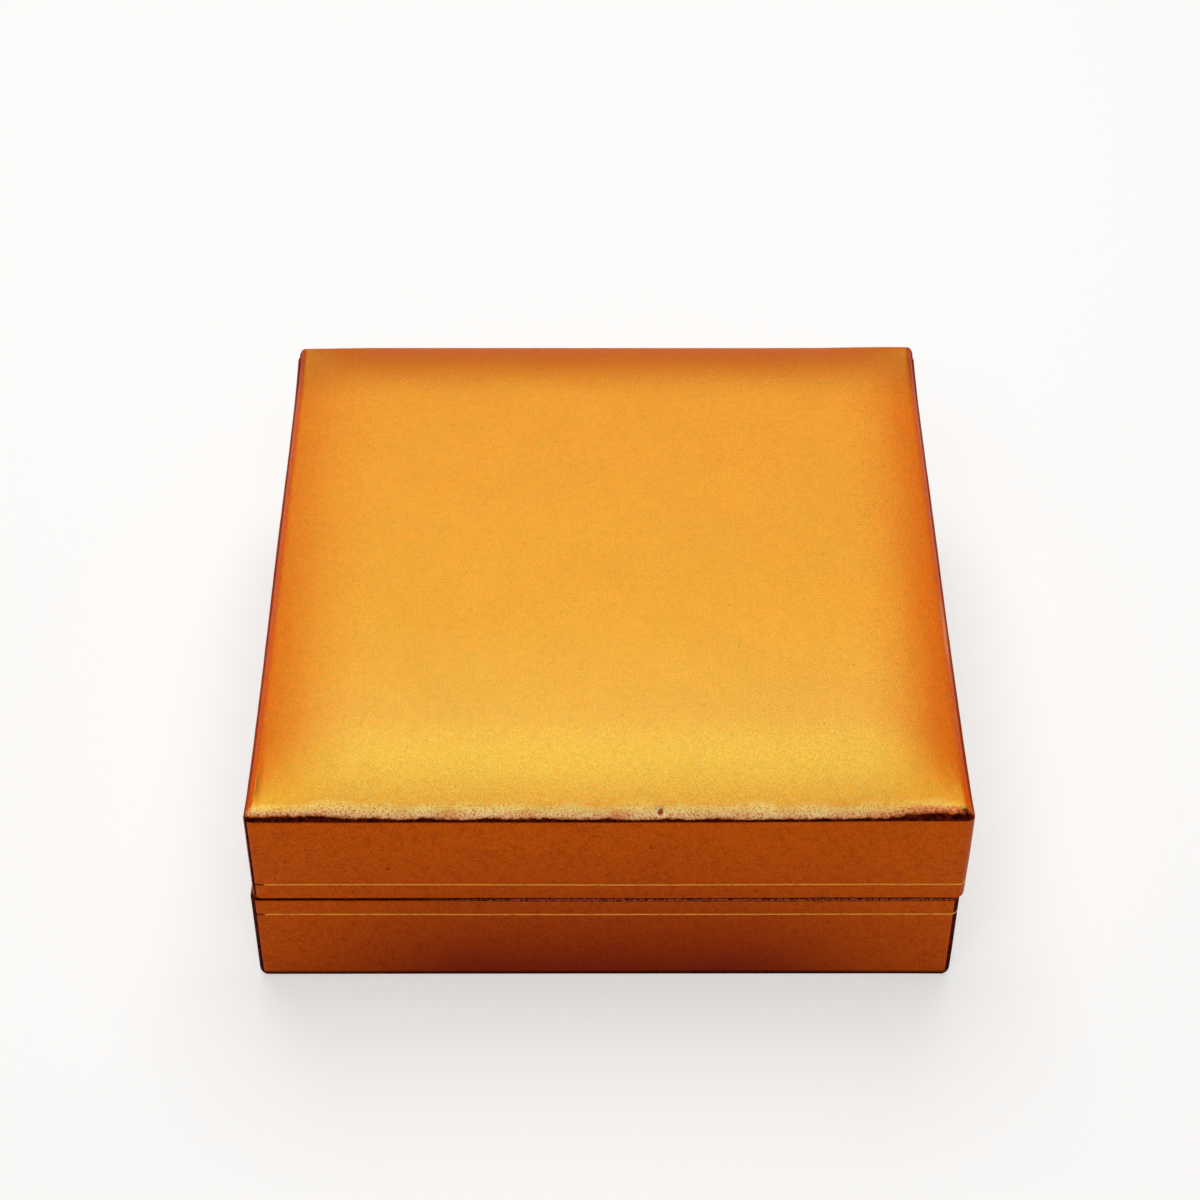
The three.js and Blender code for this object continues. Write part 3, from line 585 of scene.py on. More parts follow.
def wall_piece(body, outline, profile, side, rim_z, rule_z):
    """Leatherette round a wall, above the seam where side is 1 and below it where it is -1.

    A closed profile carried round the outline, faintly uneven, with one rule pressed in along the front
    and sides: the wall is sunk by a flat-bottomed bell in height. In the hinge openings it is cut back to
    a round pocket and a slot. A lap of the covering leaves a shallow groove up each marked corner, and the
    lid's sides draw in towards the top between their corners."""
    columns = columns_round(per_side=150, per_corner=30, extra=(window_shares(outline), (), (), ()))
    inset, z = profile[:, 0], profile[:, 1]
    points = carried_round(outline, inset, z, columns)
    out = columns[1]
    outer = (inset < SKIN / 2)[:, None]
    back = outline[0][1] + outline[1][1]
    along = points[..., 1] < back - RULE_STOP
    groove = np.exp(-np.abs((points[..., 2] - rule_z) / (0.6 * RULE_WIDTH)) ** 4) * along
    angle = np.arctan2(out[:, 1], out[:, 0]) % (2 * np.pi)
    lap = 0
    for k, share, wide in FOLDS[body]:
        off = np.abs(angle - (k + share) * np.pi / 2)
        lap = lap + step_down(off, np.radians(LAP_FLOOR * wide), np.radians(LAP_FOOT * wide))
    lift = np.where(outer, unevenness(points, side) - RULE_DEPTH * groove - LAP_DEPTH * lap, 0)
    points[..., :2] += lift[..., None] * out
    if side > 0:
        drawn = side_bow(points[..., 1]) * step_up(points[..., 2], rule_z + 4 * MM, LID_HIGH[2])
        points[..., 0] -= drawn * np.sign(out[:, 0]) * (np.abs(out[:, 0]) > 0.5)
        at_top = step_up(points[..., 2], LID_HIGH[2] - 5 * MM, LID_HIGH[2])
        to_corner = step_down(points[..., 1], -60 * MM, 0) * step_up(points[..., 0], 25 * MM, 74 * MM)
        points[..., 2] += TOP_LIFT * at_top * to_corner
    depth = back - points[..., 1]
    pocket = np.sqrt(np.clip(POCKET ** 2 - (depth + PIN[1] - back) ** 2, 0, None))
    notch = PIN[2] + side * np.maximum(pocket, SLOT)
    at_hinge = in_windows(points) & (depth < 2 * BASE_WALL)
    held = np.maximum(points[..., 2], notch) if side > 0 else np.minimum(points[..., 2], notch)
    points[..., 2] = np.where(at_hinge, held, points[..., 2])
    faces = grid_faces(*points.shape[:2], wrap_rows=True)
    piece = mesh_piece(f"{body}_wall_leather", points, faces, body, WALL_LEATHERETTE)
    # Painted shade in the laps' grooves, full at the front corners and weaker at the back; reached says how
    # far in round the rim the seam's painted shade goes
    lap = lap * outer * np.where(angle > np.pi, 1, 0.55)
    reached = step_down(inset, 0.55 * MM, 0.90 * MM)[:, None]
    wall_marks(piece, points, lap, groove * outer, reached, outline, side, rim_z)
    return piece


def wall_marks(piece, points, lap, groove, reached, outline, side, rim_z):
    """Painted shade, near black, in the seam, the laps, the foot, the lid's front top edge and the first bit
    of each rule.

    Painted glints run along the base's front rim. Painted shade browns the walls towards the foot, more on the
    front and its middle than at its ends, and darkens the top edge of the lid's sides and back."""
    x, y, z = np.moveaxis(points, -1, 0)
    centre, half, _ = outline
    front = step_down(y - (centre[1] - half[1]), 0.8 * MM, 2.5 * MM)
    from_rim = side * (z - rim_z)
    # The front from a little left of its middle to its right end: there the seam's painted shade is wider and
    # painted glints show
    glinting_stretch = front * step_up(x, -45 * MM, -10 * MM)
    reach = glinting_stretch * (0.22 if side > 0 else 0.12)
    # Painted shade, near black, in the seam between lid and base
    grime = reached * step_down(from_rim, (0.17 + reach) * MM, (0.42 + reach) * MM)
    if side > 0:
        # Painted shade along the top edge of the lid's front, under the panel's tuck
        deck = z.max(0)
        grime = np.maximum(grime, front * step_up(z - deck, -0.36 * MM, -0.14 * MM))
    else:
        # Painted shade along the foot, where the box meets the floor
        grime = np.maximum(grime, step_down(z, BASE_LOW[2] + 1.3 * MM, BASE_LOW[2] + 1.9 * MM))
    # Painted shade also lies in the laps' grooves and in the empty groove at the front's left end, between the
    # two foil strips
    stub = groove * front * (x < centre[0] - half[0] + RULE_GAP)
    grime = np.clip(grime + step_up(lap, 0.35, 0.8) + 0.8 * stub, 0, 1)
    # Painted glints of pale paper along the base's front rim, below the seam
    bare = (side < 0) * glinting_stretch * bump_at(from_rim, 0.18 * MM, 0.16 * MM)
    height = (z - BASE_LOW[2]) / (LID_HIGH[2] - BASE_LOW[2])
    # Painted shade towards the foot: strongest on the front, and less towards the front's ends, where light
    # from the sides reaches
    middle = 1 - 0.75 * front * step_up(np.abs(x), 25 * MM, 72 * MM)
    soil = 0.92 * np.clip(1 - 1.1 * height, 0, 1) ** 1.25 * middle * (0.5 + 0.5 * front)
    # Painted shade along the top edge of the lid's sides and back, under the panel's tuck
    soil = np.maximum(soil, (side > 0) * (1 - front) * 0.8 * step_up(height, 0.93, 0.99))
    mark(piece, grime=grime, bare=bare, soil=soil)
    # Faces deep in painted shade get the near-black leatherette that stands for shade
    refinish(piece, grime - 0.72, FOLD_SHADOW)


def outer_face(start, rule_z, end, before, after):
    """Profile points up a wall's outer face, closest together across the rule."""
    low, high = (0, rule_z - RULE_ZONE), (0, rule_z + RULE_ZONE)
    return np.concatenate([line((0, start), low, before), line(low, high, CLOSE), line(high, (0, end), after)])


def lid_profile():
    """The lid's leatherette in section, going up its outside and down its inside."""
    low, high = LID_LOW[2], LID_HIGH[2] + WALL_PROUD
    rim = low + RIM_ROUND
    inner = LID_WALL - RIM_ROUND
    deck = high - DECK_ROUND
    hidden = RIM_ROUND - SKIN
    return np.concatenate([
        arc(RIM_ROUND, rim, RIM_ROUND, -1, 0, 10),
        outer_face(rim, LID_RULE_Z, deck, MEDIUM, WIDE),
        arc(DECK_ROUND, deck, DECK_ROUND, 0, 1),
        np.array([[2 * MM, high], [TURN_UNDER, high], [TURN_UNDER, high - SKIN]]),
        arc(DECK_ROUND, deck, DECK_ROUND - SKIN, 1, 0, 3),
        arc(RIM_ROUND, rim, hidden, 0, -1, 3),
        arc(inner, rim, hidden, 3, 2, 3),
        np.array([[LID_WALL - SKIN, low + TURN_IN], [LID_WALL, low + TURN_IN]]),
        arc(inner, rim, RIM_ROUND, 2, 3),
    ])


def base_profile():
    """The base's leatherette in section, going up its outside and down its inside."""
    low, high = BASE_LOW[2], BASE_HIGH[2]
    rim = high - RIM_ROUND
    foot = low + FOOT_ROUND
    inner = BASE_WALL - RIM_ROUND
    hidden = RIM_ROUND - SKIN
    return np.concatenate([
        arc(FOOT_ROUND, foot, FOOT_ROUND, -1, 0),
        outer_face(foot, BASE_RULE_Z, rim, WIDE, MEDIUM),
        arc(RIM_ROUND, rim, RIM_ROUND, 0, 1, 10),
        arc(inner, rim, RIM_ROUND, 1, 2),
        np.array([[BASE_WALL, high - TURN_IN], [BASE_WALL - SKIN, high - TURN_IN]]),
        arc(inner, rim, hidden, 2, 1, 3),
        arc(RIM_ROUND, rim, hidden, 1, 0, 3),
        arc(FOOT_ROUND, foot, FOOT_ROUND - SKIN, 0, -1, 3),
        np.array([[TURN_UNDER, low + SKIN], [TURN_UNDER, low]]),
    ])


lid_wall = wall_piece("lid", LID_OUTLINE, lid_profile(), 1, LID_LOW[2], LID_RULE_Z)
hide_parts("lid_wall_cover")
base_wall = wall_piece("base", BASE_OUTLINE, base_profile(), -1, BASE_HIGH[2], BASE_RULE_Z)
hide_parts("base_cover")


def gold_rules(body, outline, z, side):
    """Two flat foil strips in the groove, one along the left side and one along the front and right side.

    Each is a thin rectangle carried along the wall. A bit between them, at the front's left end, is bare."""
    places, out = columns_round(per_side=150, per_corner=20)
    half_width = RULE_WIDTH / 2
    inset = [FOIL_FACE, FOIL_FACE, FOIL_BACK, FOIL_BACK]
    height = [z - half_width, z + half_width, z + half_width, z - half_width]
    points = carried_round(outline, inset, height, (places, out))
    x, y = points[0, :, 0], points[0, :, 1]
    points[..., :2] += unevenness(points, side)[..., None] * out
    ends = outline[0][1] + outline[1][1] - RULE_STOP
    left = outline[0][0] - outline[1][0]
    on_side = (y < ends) & (out[:, 0] < -0.999)
    on_front = (y < ends) & (x > left + RULE_GAP) & ~on_side
    for name, keep in ((f"{body}_gold_rule_left", on_side), (f"{body}_gold_rule_front", on_front)):
        part = points[:, keep]
        count = part.shape[1]
        faces = grid_faces(4, count, wrap_rows=True, wrap_columns=False)
        rows = np.arange(4) * count
        caps = np.array([rows[::-1], rows + count - 1])
        mesh_piece(name, part, np.concatenate([faces, caps]), body, GOLD_FOIL)


gold_rules("lid", LID_OUTLINE, LID_RULE_Z, 1)
gold_rules("base", BASE_OUTLINE, BASE_RULE_Z, -1)


# The padded panel on top

# How far the leather stands past the CAD panel at the sides and on top
PANEL_PROUD = 0.30 * MM
CROWN_PROUD = 0.8 * MM
PANEL_CORNER = 1.4 * MM
# The tuck's radius, and how far in the leather is turned under the board
PANEL_TUCK = 0.7 * MM
PANEL_TURN = 9 * MM
# The roll's quarter ellipse: how far in it runs, and how far up
ROLL_IN = 2.2 * MM
ROLL_UP = {"front": 1.8 * MM, "back": 2.9 * MM}
# How far in from each side the padding still rises
SHOULDERS = {"left": 27 * MM, "right": 22 * MM, "front": 24 * MM, "back": 23 * MM}
SHOULDER_POWER = 2.4
# The dent in the front roll: its place along X, the climb up the roll to it, its depth and its half width
DENT = np.array([11.2, 2.6]) * MM
DENT_DEPTH, DENT_SIZE = 0.45 * MM, 0.8 * MM
# The right back corner of the panel turns up a little
CORNER_RISE, CORNER_REACH = 0.6 * MM, 16 * MM
WRINKLE_DEPTH = 0.16 * MM
RIDGE_HEIGHT = 0.07 * MM
# How far up from the crease the rubbed finish goes, before the wander of its edge
RUBBED_REACH = 1.7 * MM
PANEL_SPACING = 0.58 * MM


def pad_rise(distance, shoulder):
    """How far the padding has risen at a distance in from an edge: steep first, level past the shoulder."""
    return 1 - (1 - np.clip(distance / shoulder, 0, 1)) ** SHOULDER_POWER


def top_panel():
    """The padded panel: the leatherette comes out from under the board, round a tucked edge and over a roll.

    Over that quarter ellipse stands a swell, the product of the rises from the four sides, so that the
    corners stay pinched. The surface is faintly uneven and puckered near its edge, with one small dent in
    the front roll, a wrinkle by the left front corner and one on the right side."""
    centre, half, corner = outline_of(PANEL_LOW, PANEL_HIGH, PANEL_CORNER)
    half = half + PANEL_PROUD
    edge = PANEL_LOW[2] + PANEL_TUCK
    over_dent = DENT[0] - centre[0] + np.linspace(-2, 2, 17) * MM
    x, y, inward = pillow_grid(half, corner, ROLL_IN, PANEL_SPACING, over_dent)
    rise = pad_rise(half[0] + x, SHOULDERS["left"]) * pad_rise(half[0] - x, SHOULDERS["right"])
    rise = rise * pad_rise(half[1] + y, SHOULDERS["front"]) * pad_rise(half[1] - y, SHOULDERS["back"])
    roll = np.sqrt(1 - np.clip(1 - inward / ROLL_IN, 0, 1) ** 2)
    roll_up = ROLL_UP["front"] + (ROLL_UP["back"] - ROLL_UP["front"]) * step_up(y, -half[1], half[1])
    swell = PANEL_HIGH[2] + CROWN_PROUD - edge - roll_up
    flat = np.stack([x, y], -1)
    soft = 0.03 * MM * waves(flat, 45 * MM, 21) + 0.010 * MM * waves(flat, 14 * MM, 22)
    pucker = 0.025 * MM * waves(flat, 4 * MM, 24) * np.exp(-inward / (5 * MM))
    height = edge + roll_up * roll + swell * rise + soft * step_up(inward, 1 * MM, 10 * MM)
    height = height + pucker * step_up(inward, 1 * MM, 3 * MM)
    from_corner = (x - half[0]) ** 2 + (y - half[1]) ** 2
    height = height + CORNER_RISE * np.exp(-from_corner / CORNER_REACH ** 2)
    wrinkle = bump_at(inward, 2.0 * MM, 0.35 * MM) * bump_at(y, -67 * MM, 8 * MM) * (x < -60 * MM)
    ridge = bump_at(inward, 1.1 * MM, 0.3 * MM) * bump_at(y, -24 * MM, 9 * MM) * (x > 60 * MM)
    height = height - WRINKLE_DEPTH * wrinkle + RIDGE_HEIGHT * ridge
    x = x - np.sign(x) * 2 / 3 * side_bow(y) * step_up(np.abs(x), half[0] - 12 * MM, half[0])
    top = np.stack([x + centre[0], y + centre[1], height], -1)
    tuck = arc(PANEL_TUCK, edge, PANEL_TUCK, 0, -1, 12)
    profile = np.concatenate([tuck[1:], [[4 * MM, PANEL_LOW[2]], [PANEL_TURN, PANEL_LOW[2]]]])
    columns, border = border_columns(x, y, half, corner)
    skirt = carried_round((centre, half, corner), profile[:, 0], profile[:, 1], columns)
    sideways = np.sign(columns[1][:, 0]) * (np.abs(columns[1][:, 0]) > 0.02)
    skirt[..., 0] -= 2 / 3 * sideways * side_bow(skirt[..., 1] - centre[1])
    piece, points = pillow_piece(
        "top_panel_leather", top, border, skirt, "lid", PANEL_LEATHERETTE
    )
    tuck_length = PANEL_TUCK * np.pi / 2
    lean = np.linspace(0, np.pi / 2, 60)
    curve = np.stack([ROLL_IN * (1 - np.cos(lean)), ROLL_UP["front"] * np.sin(lean)], -1)
    climbed = np.append(0, np.linalg.norm(np.diff(curve, axis=0), axis=1).cumsum())
    over_roll = np.interp(inward, curve[:, 0], climbed) + np.clip(inward - ROLL_IN, 0, None)
    below = tuck_length * (1 - np.arange(1, len(tuck)) / (len(tuck) - 1))
    below = np.concatenate([below, [-2 * MM, -7 * MM]])
    climb = np.concatenate([tuck_length + over_roll.ravel(), np.repeat(below, skirt.shape[1])])
    folds = [np.append(fold.ravel(), np.zeros(skirt[..., 0].size)) for fold in (wrinkle, ridge)]
    panel_wear_and_painted_shade(piece, points, climb, centre, half, *folds)
    return piece


def panel_wear_and_painted_shade(piece, points, climb, centre, half, wrinkle, ridge):
    """Wear and painted shade up the edge of the panel, by the distance climbed from the crease.

    There is painted near-black shade in the crease, then scuffed red-brown, then rubbed pale paper on the
    roll, fading out over it. The front is worn most, and its ends are reddest. The front's crease wanders a
    little, its corners flare, and a small dent is pressed into its roll. Painted shade also darkens the dent,
    the left front wrinkle, a small fold at the right front corner, the edges of the sides and back, and the
    back slope. A painted paler sheen lies over the front of the crown."""
    x, y = points[:, 0], points[:, 1]
    to_front = half[1] + y - centre[1]
    to_side = half[0] - np.abs(x - centre[0])
    front = step_up(to_side - to_front, -1.5 * MM, 1.0 * MM)
    dent = front * np.exp(-((x - DENT[0]) ** 2 + (climb - DENT[1]) ** 2) / DENT_SIZE ** 2)
    flat = points[:, :2]
    wander = 0.07 * MM * waves(flat, 9 * MM, 23) + 0.03 * MM * waves(flat, 2.5 * MM, 25)
    flare = bump_at(to_front, 0, 8 * MM) * step_down(to_side, 0, 4 * MM)
    points[:, 0] += flare * np.where(x > 0, 0.32 * MM, -0.12 * MM)
    points[:, 2] += wander * bump_at(climb, 1.1 * MM, 1.6 * MM) - DENT_DEPTH * dent
    points[:, 1] += 2 / 3 * DENT_DEPTH * dent
    piece.data.vertices.foreach_set("co", points.astype(np.float32).ravel())
    shift = 0.22 * MM * waves(points, 7 * MM, 31) + 0.14 * MM * waves(points, 1.6 * MM, 32)
    right_end, left_end = step_up(x, 50 * MM, 66 * MM), step_up(-x, 40 * MM, 62 * MM)
    s = climb + front * (shift - (1.35 * right_end + 0.65 * left_end) * MM)
    bare = front * step_up(s, 1.05 * MM, 1.75 * MM) * step_down(s, 2.0 * MM, 4.6 * MM)
    bare = bare * (0.95 - 0.6 * right_end - 0.3 * left_end)
    bare = bare * np.clip(0.90 + 0.30 * waves(flat, 13 * MM, 33), 0.4, 1)
    worn = (0.25 + 0.75 * front) * step_down(s, 1.05 * MM, (1.9 + 1.0 * right_end + 0.7 * left_end) * MM)
    # Painted shade, near black, in the crease, wider at the front
    crease_shade = step_down(s, (0.42 + 0.43 * front) * MM, (0.72 + 0.50 * front) * MM)
    # Painted shade at a small fold by the right front corner
    corner_fold_shade = front * bump_at(x, centre[0] + half[0] - 1.6 * MM, 0.9 * MM) * bump_at(climb, 3 * MM, 0.9 * MM)
    crease_shade = np.maximum(crease_shade, corner_fold_shade)
    # Painted shade in the dent and the left front wrinkle
    pinched = np.maximum(step_up(dent, 0.5, 0.75), 0.8 * step_up(wrinkle, 0.6, 0.95))
    grime = crease_shade + 0.9 * pinched
    bare = bare + 0.5 * front * step_up(dent, 0.1, 0.3) + 0.4 * ridge
    # A painted paler sheen over the front of the crown
    faded = 0.18 * step_down(to_front, 8 * MM, 60 * MM) * step_up(to_side, 4 * MM, 24 * MM)
    to_back = half[1] - y + centre[1]
    # Painted shade along the edges of the sides and back, near the crease
    edge_shade = 0.5 * (1 - front) * step_down(climb, 1.5 * MM, 4.5 * MM)
    # Painted shade over the back slope, and along those edges
    soil = 0.36 * step_down(to_back, 6 * MM, 26 * MM) + edge_shade
    mark(piece, bare=np.clip(bare, 0, 1), worn=worn, faded=faded, soil=soil, grime=np.clip(grime, 0, 1))
    refinish(piece, RUBBED_REACH + (2.0 - 1.4 * front) * MM - s, EDGE_LEATHERETTE)
    refinish(piece, RUBBED_REACH + (0.8 - 0.5 * front) * MM - s, RUBBED_LEATHERETTE)
    # Faces deep in painted shade get the near-black leatherette that stands for shade
    refinish(piece, np.maximum(crease_shade, pinched) - 0.6, FOLD_SHADOW)


panel = top_panel()
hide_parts("top_panel_cover", "top_panel_foam")


# The inside

VELVET_ROUND = 0.5 * MM
# How far down and up the linings are cut back at the hinges
WINDOW_BASE = corners_of("hinge_left_base_leaf")[0][2] - WINDOW_ROOM
WINDOW_LID = corners_of("hinge_left_lid_leaf")[1][2] + WINDOW_ROOM


def flat_across(piece, along):
    """Shades the faces that look along one axis flat, so that cut ends keep crisp edges."""
    count = len(piece.data.polygons)
    normals = np.zeros(3 * count, np.float32)
    piece.data.polygons.foreach_get("normal", normals)
    piece.data.polygons.foreach_set("use_smooth", np.abs(normals.reshape(-1, 3)[:, along]) < 0.9)


def lining_strip(side, body):
    """Velvet over a card strip: a rounded section carried straight on, uneven on top, cut at the hinges."""
    name = f"{body}_lining_{side}"
    low, high = corners_of(name)
    along = 0 if high[0] - low[0] > high[1] - low[1] else 1
    across = 1 - along
    count = int((high[along] - low[along]) / (1.5 * MM))
    steps = np.linspace(low[along], high[along], count)
    back = side == "back"
    if back:
        cuts = [(start - EDGE_PAIR, start, end, end + EDGE_PAIR) for start, end in hinge_spans()]
        steps = np.union1d(steps, np.array(cuts).ravel())
    turn = (np.arange(4)[:, None] + np.linspace(0, 1, 5)).ravel() * np.pi / 2
    far, top = np.repeat([(1, 0, 0, 1), (1, 1, 0, 0)], 5, axis=1)
    flat = high - low - 2 * VELVET_ROUND
    loop_across = low[across] + VELVET_ROUND * (1 + np.cos(turn)) + far * flat[across]
    loop_up = low[2] + VELVET_ROUND * (1 + np.sin(turn)) + top * flat[2]
    points = np.zeros((len(steps), len(loop_up), 3))
    points[..., along] = steps[:, None]
    points[..., across] = loop_across
    points[..., 2] = loop_up
    soft = 0.03 * MM * waves(points, 12 * MM, 41)
    points[..., 2] += top * soft
    if back:
        hold, level = (np.minimum, WINDOW_BASE) if body == "base" else (np.maximum, WINDOW_LID)
        points[..., 2] = np.where(in_windows(points), hold(points[..., 2], level), points[..., 2])
    faces = grid_faces(*points.shape[:2])
    if along == 0:
        faces = faces[:, ::-1]
    piece = mesh_piece(name + "_velvet", points, faces, body, VELVET)
    loops = len(loop_up)
    first = np.arange(loops)
    last = (len(steps) - 1) * loops + first
    capped(piece, *((first, last[::-1]) if along == 0 else (first[::-1], last)))
    flat_across(piece, along)
    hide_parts(name)


for lining_side in ("front", "back", "left", "right"):
    for lining_body in ("base", "lid"):
        lining_strip(lining_side, lining_body)


PAD_EDGE = 1.6 * MM
PAD_CORNER = 2.6 * MM
PAD_SPREAD = 40 * MM
PAD_CROWN = 0.7 * MM
PAD_SPACING = 0.6 * MM
SLIT_DEPTH, SLIT_WIDTH = 4.5 * MM, 0.85 * MM
LIP_HEIGHT = 0.30 * MM
# A slit's length, the shares of the pad's half sizes at which its middle is, and its slant
SLITS = ((14 * MM, 0.56, 0.66, np.pi / 4), (6 * MM, 0.20, 0.12, 0.0))


def slit_distance(x, y, half):
    """How far each place is from the nearest of the four slits, which are straight lines."""
    nearest = np.full(x.shape, 1.0)
    for length, share_x, share_y, slant in SLITS:
        for sign in (-1, 1):
            away_x, away_y = x - sign * half[0] * share_x, y - half[1] * share_y
            turn = -sign * slant
            along = away_x * np.cos(turn) + away_y * np.sin(turn)
            across = -away_x * np.sin(turn) + away_y * np.cos(turn)
            past = np.clip(np.abs(along) - length / 2, 0, None)
            nearest = np.minimum(nearest, np.hypot(past, across))
    return nearest


def insert_pad():
    """The velvet pad: a height over a square grid with rounded corners.

    The height rolls up over the edge, rises in a low crown and drops into four slits with soft lips. The
    skirt goes straight down from the grid's border."""
    centre, half, corner = outline_of(PAD_LOW, PAD_HIGH, PAD_CORNER)
    x, y, inward = pillow_grid(half, corner, PAD_EDGE, PAD_SPACING)
    edge = PAD_HIGH[2] - PAD_CROWN - PAD_EDGE
    roll = PAD_EDGE * np.sqrt(1 - np.clip(1 - inward / PAD_EDGE, 0, 1) ** 2)
    crown = PAD_CROWN * (1 - (1 - np.clip((inward - PAD_EDGE) / PAD_SPREAD, 0, 1)) ** 2.5)
    soft = 0.10 * MM * waves(np.stack([x, y], -1), 26 * MM, 51) * step_up(inward, 1 * MM, 8 * MM)
    away = slit_distance(x, y, half)
    slit = SLIT_DEPTH * np.exp(-((away / SLIT_WIDTH) ** 3))
    lips = LIP_HEIGHT * bump_at(away, 1.6 * MM, 0.9 * MM) - 0.25 * MM * bump_at(away, 0, 5 * MM)
    top = np.stack([x + centre[0], y + centre[1], edge + roll + crown + soft - slit + lips], -1)
    columns, border = border_columns(x, y, half, corner)
    down = np.append(np.linspace(edge, PAD_LOW[2], 8)[1:], PAD_LOW[2])
    inset = np.append(np.zeros(7), 4 * MM)
    skirt = carried_round((centre, half, corner), inset, down, columns)
    piece, _ = pillow_piece("insert_pad_velvet", top, border, skirt, "base", VELVET)
    deep = step_down(away.ravel(), 0.5 * MM, 1.0 * MM)
    mark(piece, deep=np.append(deep, np.zeros(skirt[..., 0].size)))
    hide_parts("insert_velvet", "insert_foam")


insert_pad()


CUSHION_CORNER = 3 * MM
CUSHION_DROP = 5 * MM
CUSHION_SPREAD = 50 * MM
CUSHION_TURN = 7 * MM
CUSHION_EDGE = 3 * MM
PLEAT_DEPTH, PLEAT_SPACING, PLEAT_REACH = 0.60 * MM, 7 * MM, 19 * MM
SLACK = 0.30 * MM


def lid_cushion():
    """The satin cushion in the lid, its face down: a drop over a square grid.

    The drop is steep at the edge and level in the middle. It is gathered into pleats, waves along the
    nearest side that run in from it and fade out."""
    centre, half, corner = outline_of(CUSHION_LOW, CUSHION_HIGH, CUSHION_CORNER)
    x, y, inward = pillow_grid(half, corner, CUSHION_EDGE, PAD_SPACING)
    edge = CUSHION_LOW[2] + CUSHION_DROP
    share = np.clip(inward / CUSHION_SPREAD, 0, 1)
    drop = CUSHION_DROP * (1 - (1 - share) ** 2.5) ** 0.5
    by_side = step_up((half[0] - np.abs(x)) - (half[1] - np.abs(y)), -4 * MM, 4 * MM)
    pleats = 0
    for seed, place, part in ((61, x, by_side), (62, y, 1 - by_side)):
        ways = np.stack([place, 0.2 * inward], -1)
        pleats = pleats + part * (waves(ways, PLEAT_SPACING, seed) + 0.6 * waves(ways, 3.2 * MM, seed + 10))
    held = step_up(inward, 0, 2.5 * MM) * np.exp(-inward / PLEAT_REACH)
    slack = waves(np.stack([x, y], -1), 24 * MM, 63) * step_up(inward, 4 * MM, 20 * MM)
    height = edge - drop + PLEAT_DEPTH * pleats * held + SLACK * slack
    top = np.stack([x + centre[0], y + centre[1], height], -1)
    columns, border = border_columns(x, y, half, corner)
    up = np.append(np.linspace(edge, CUSHION_HIGH[2], 6)[1:], CUSHION_HIGH[2])
    inset = np.append(np.zeros(5), CUSHION_TURN)
    skirt = carried_round((centre, half, corner), inset, up, columns)
    piece, _ = pillow_piece(
        "lid_cushion_pleated_satin", top, border, skirt, "lid", SATIN, hangs=True
    )
    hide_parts("lid_cushion_satin", "lid_cushion_foam")


lid_cushion()


# The bow springs

SPRING_THICK = 0.5 * MM
BOW_DEPTH = 5 * MM
STRIP_SIDES = 16


def bow_spring(side):
    """A strip of spring steel carried along a half bow.

    Along the bow y falls by the cosine and z rises by the sine of the same angle. The strip is a squared
    oval in section and widest in the middle, and its ends run straight on to the leaves."""
    low, high = corners_of(f"hinge_{side}_spring")
    centre_x = (low[0] + high[0]) / 2
    width = high[0] - low[0]
    hook = (high[2] - low[2]) / 2 - SPRING_THICK / 2
    angle = np.linspace(-np.pi / 2, np.pi / 2, 49)
    start = low[1] + BOW_DEPTH + SPRING_THICK / 2
    path_y = start - BOW_DEPTH * np.cos(angle)
    path_z = PIN[2] + hook * np.sin(angle)
    base_end = corners_of(f"hinge_{side}_base_leaf")[0][1] + 1.5 * MM
    path_y = np.concatenate([[base_end], path_y, [high[1]]])
    path_z = np.concatenate([[PIN[2] - hook], path_z, [PIN[2] + hook]])
    path = np.stack([path_y, path_z], -1)
    along = np.gradient(path, axis=0)
    along /= np.linalg.norm(along, axis=1, keepdims=True)
    across = np.stack([-along[:, 1], along[:, 0]], -1)
    share = np.abs(np.linspace(-1, 1, len(path)))
    half_width = width / 2 * (1 - 0.22 * step_up(share, 0.55, 0.95))
    turn = np.arange(STRIP_SIDES) * 2 * np.pi / STRIP_SIDES
    round_x = np.sign(np.cos(turn)) * np.abs(np.cos(turn)) ** 0.35
    round_t = np.sign(np.sin(turn)) * np.abs(np.sin(turn)) ** 0.6
    thick = SPRING_THICK / 2 * round_t
    points = np.zeros((len(path), len(turn), 3))
    points[..., 0] = centre_x + half_width[:, None] * round_x
    points[..., 1] = path[:, :1] + across[:, :1] * thick
    points[..., 2] = path[:, 1:] + across[:, 1:] * thick
    faces = grid_faces(*points.shape[:2])
    piece = mesh_piece(f"hinge_{side}_bow_spring", points, faces, None, SPRING)
    first = np.arange(STRIP_SIDES)
    last = (len(path) - 1) * STRIP_SIDES + first
    capped(piece, first[::-1], last)
    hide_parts(f"hinge_{side}_spring")
    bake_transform(piece)


for spring_side in SIDES:
    bow_spring(spring_side)


# Finishes of the CAD pieces that stay

FINISHES = {
    "base_underside": UNDER_PAPER, "base_shell": SHELL_PLASTIC, "lid_shell": SHELL_PLASTIC,
    "insert_board": CARD, "top_panel_board": CARD, "lid_cushion_board": CARD,
}
for node_name, node in nodes.items():
    finish = FINISHES.get(node_name)
    if finish is None and ("leaf" in node_name or "rivet" in node_name):
        finish = BRASSED
    if finish is None and "pin" in node_name:
        finish = SPRING
    if finish is not None:
        node.data.materials.clear()
        node.data.materials.append(finish)


# The studio

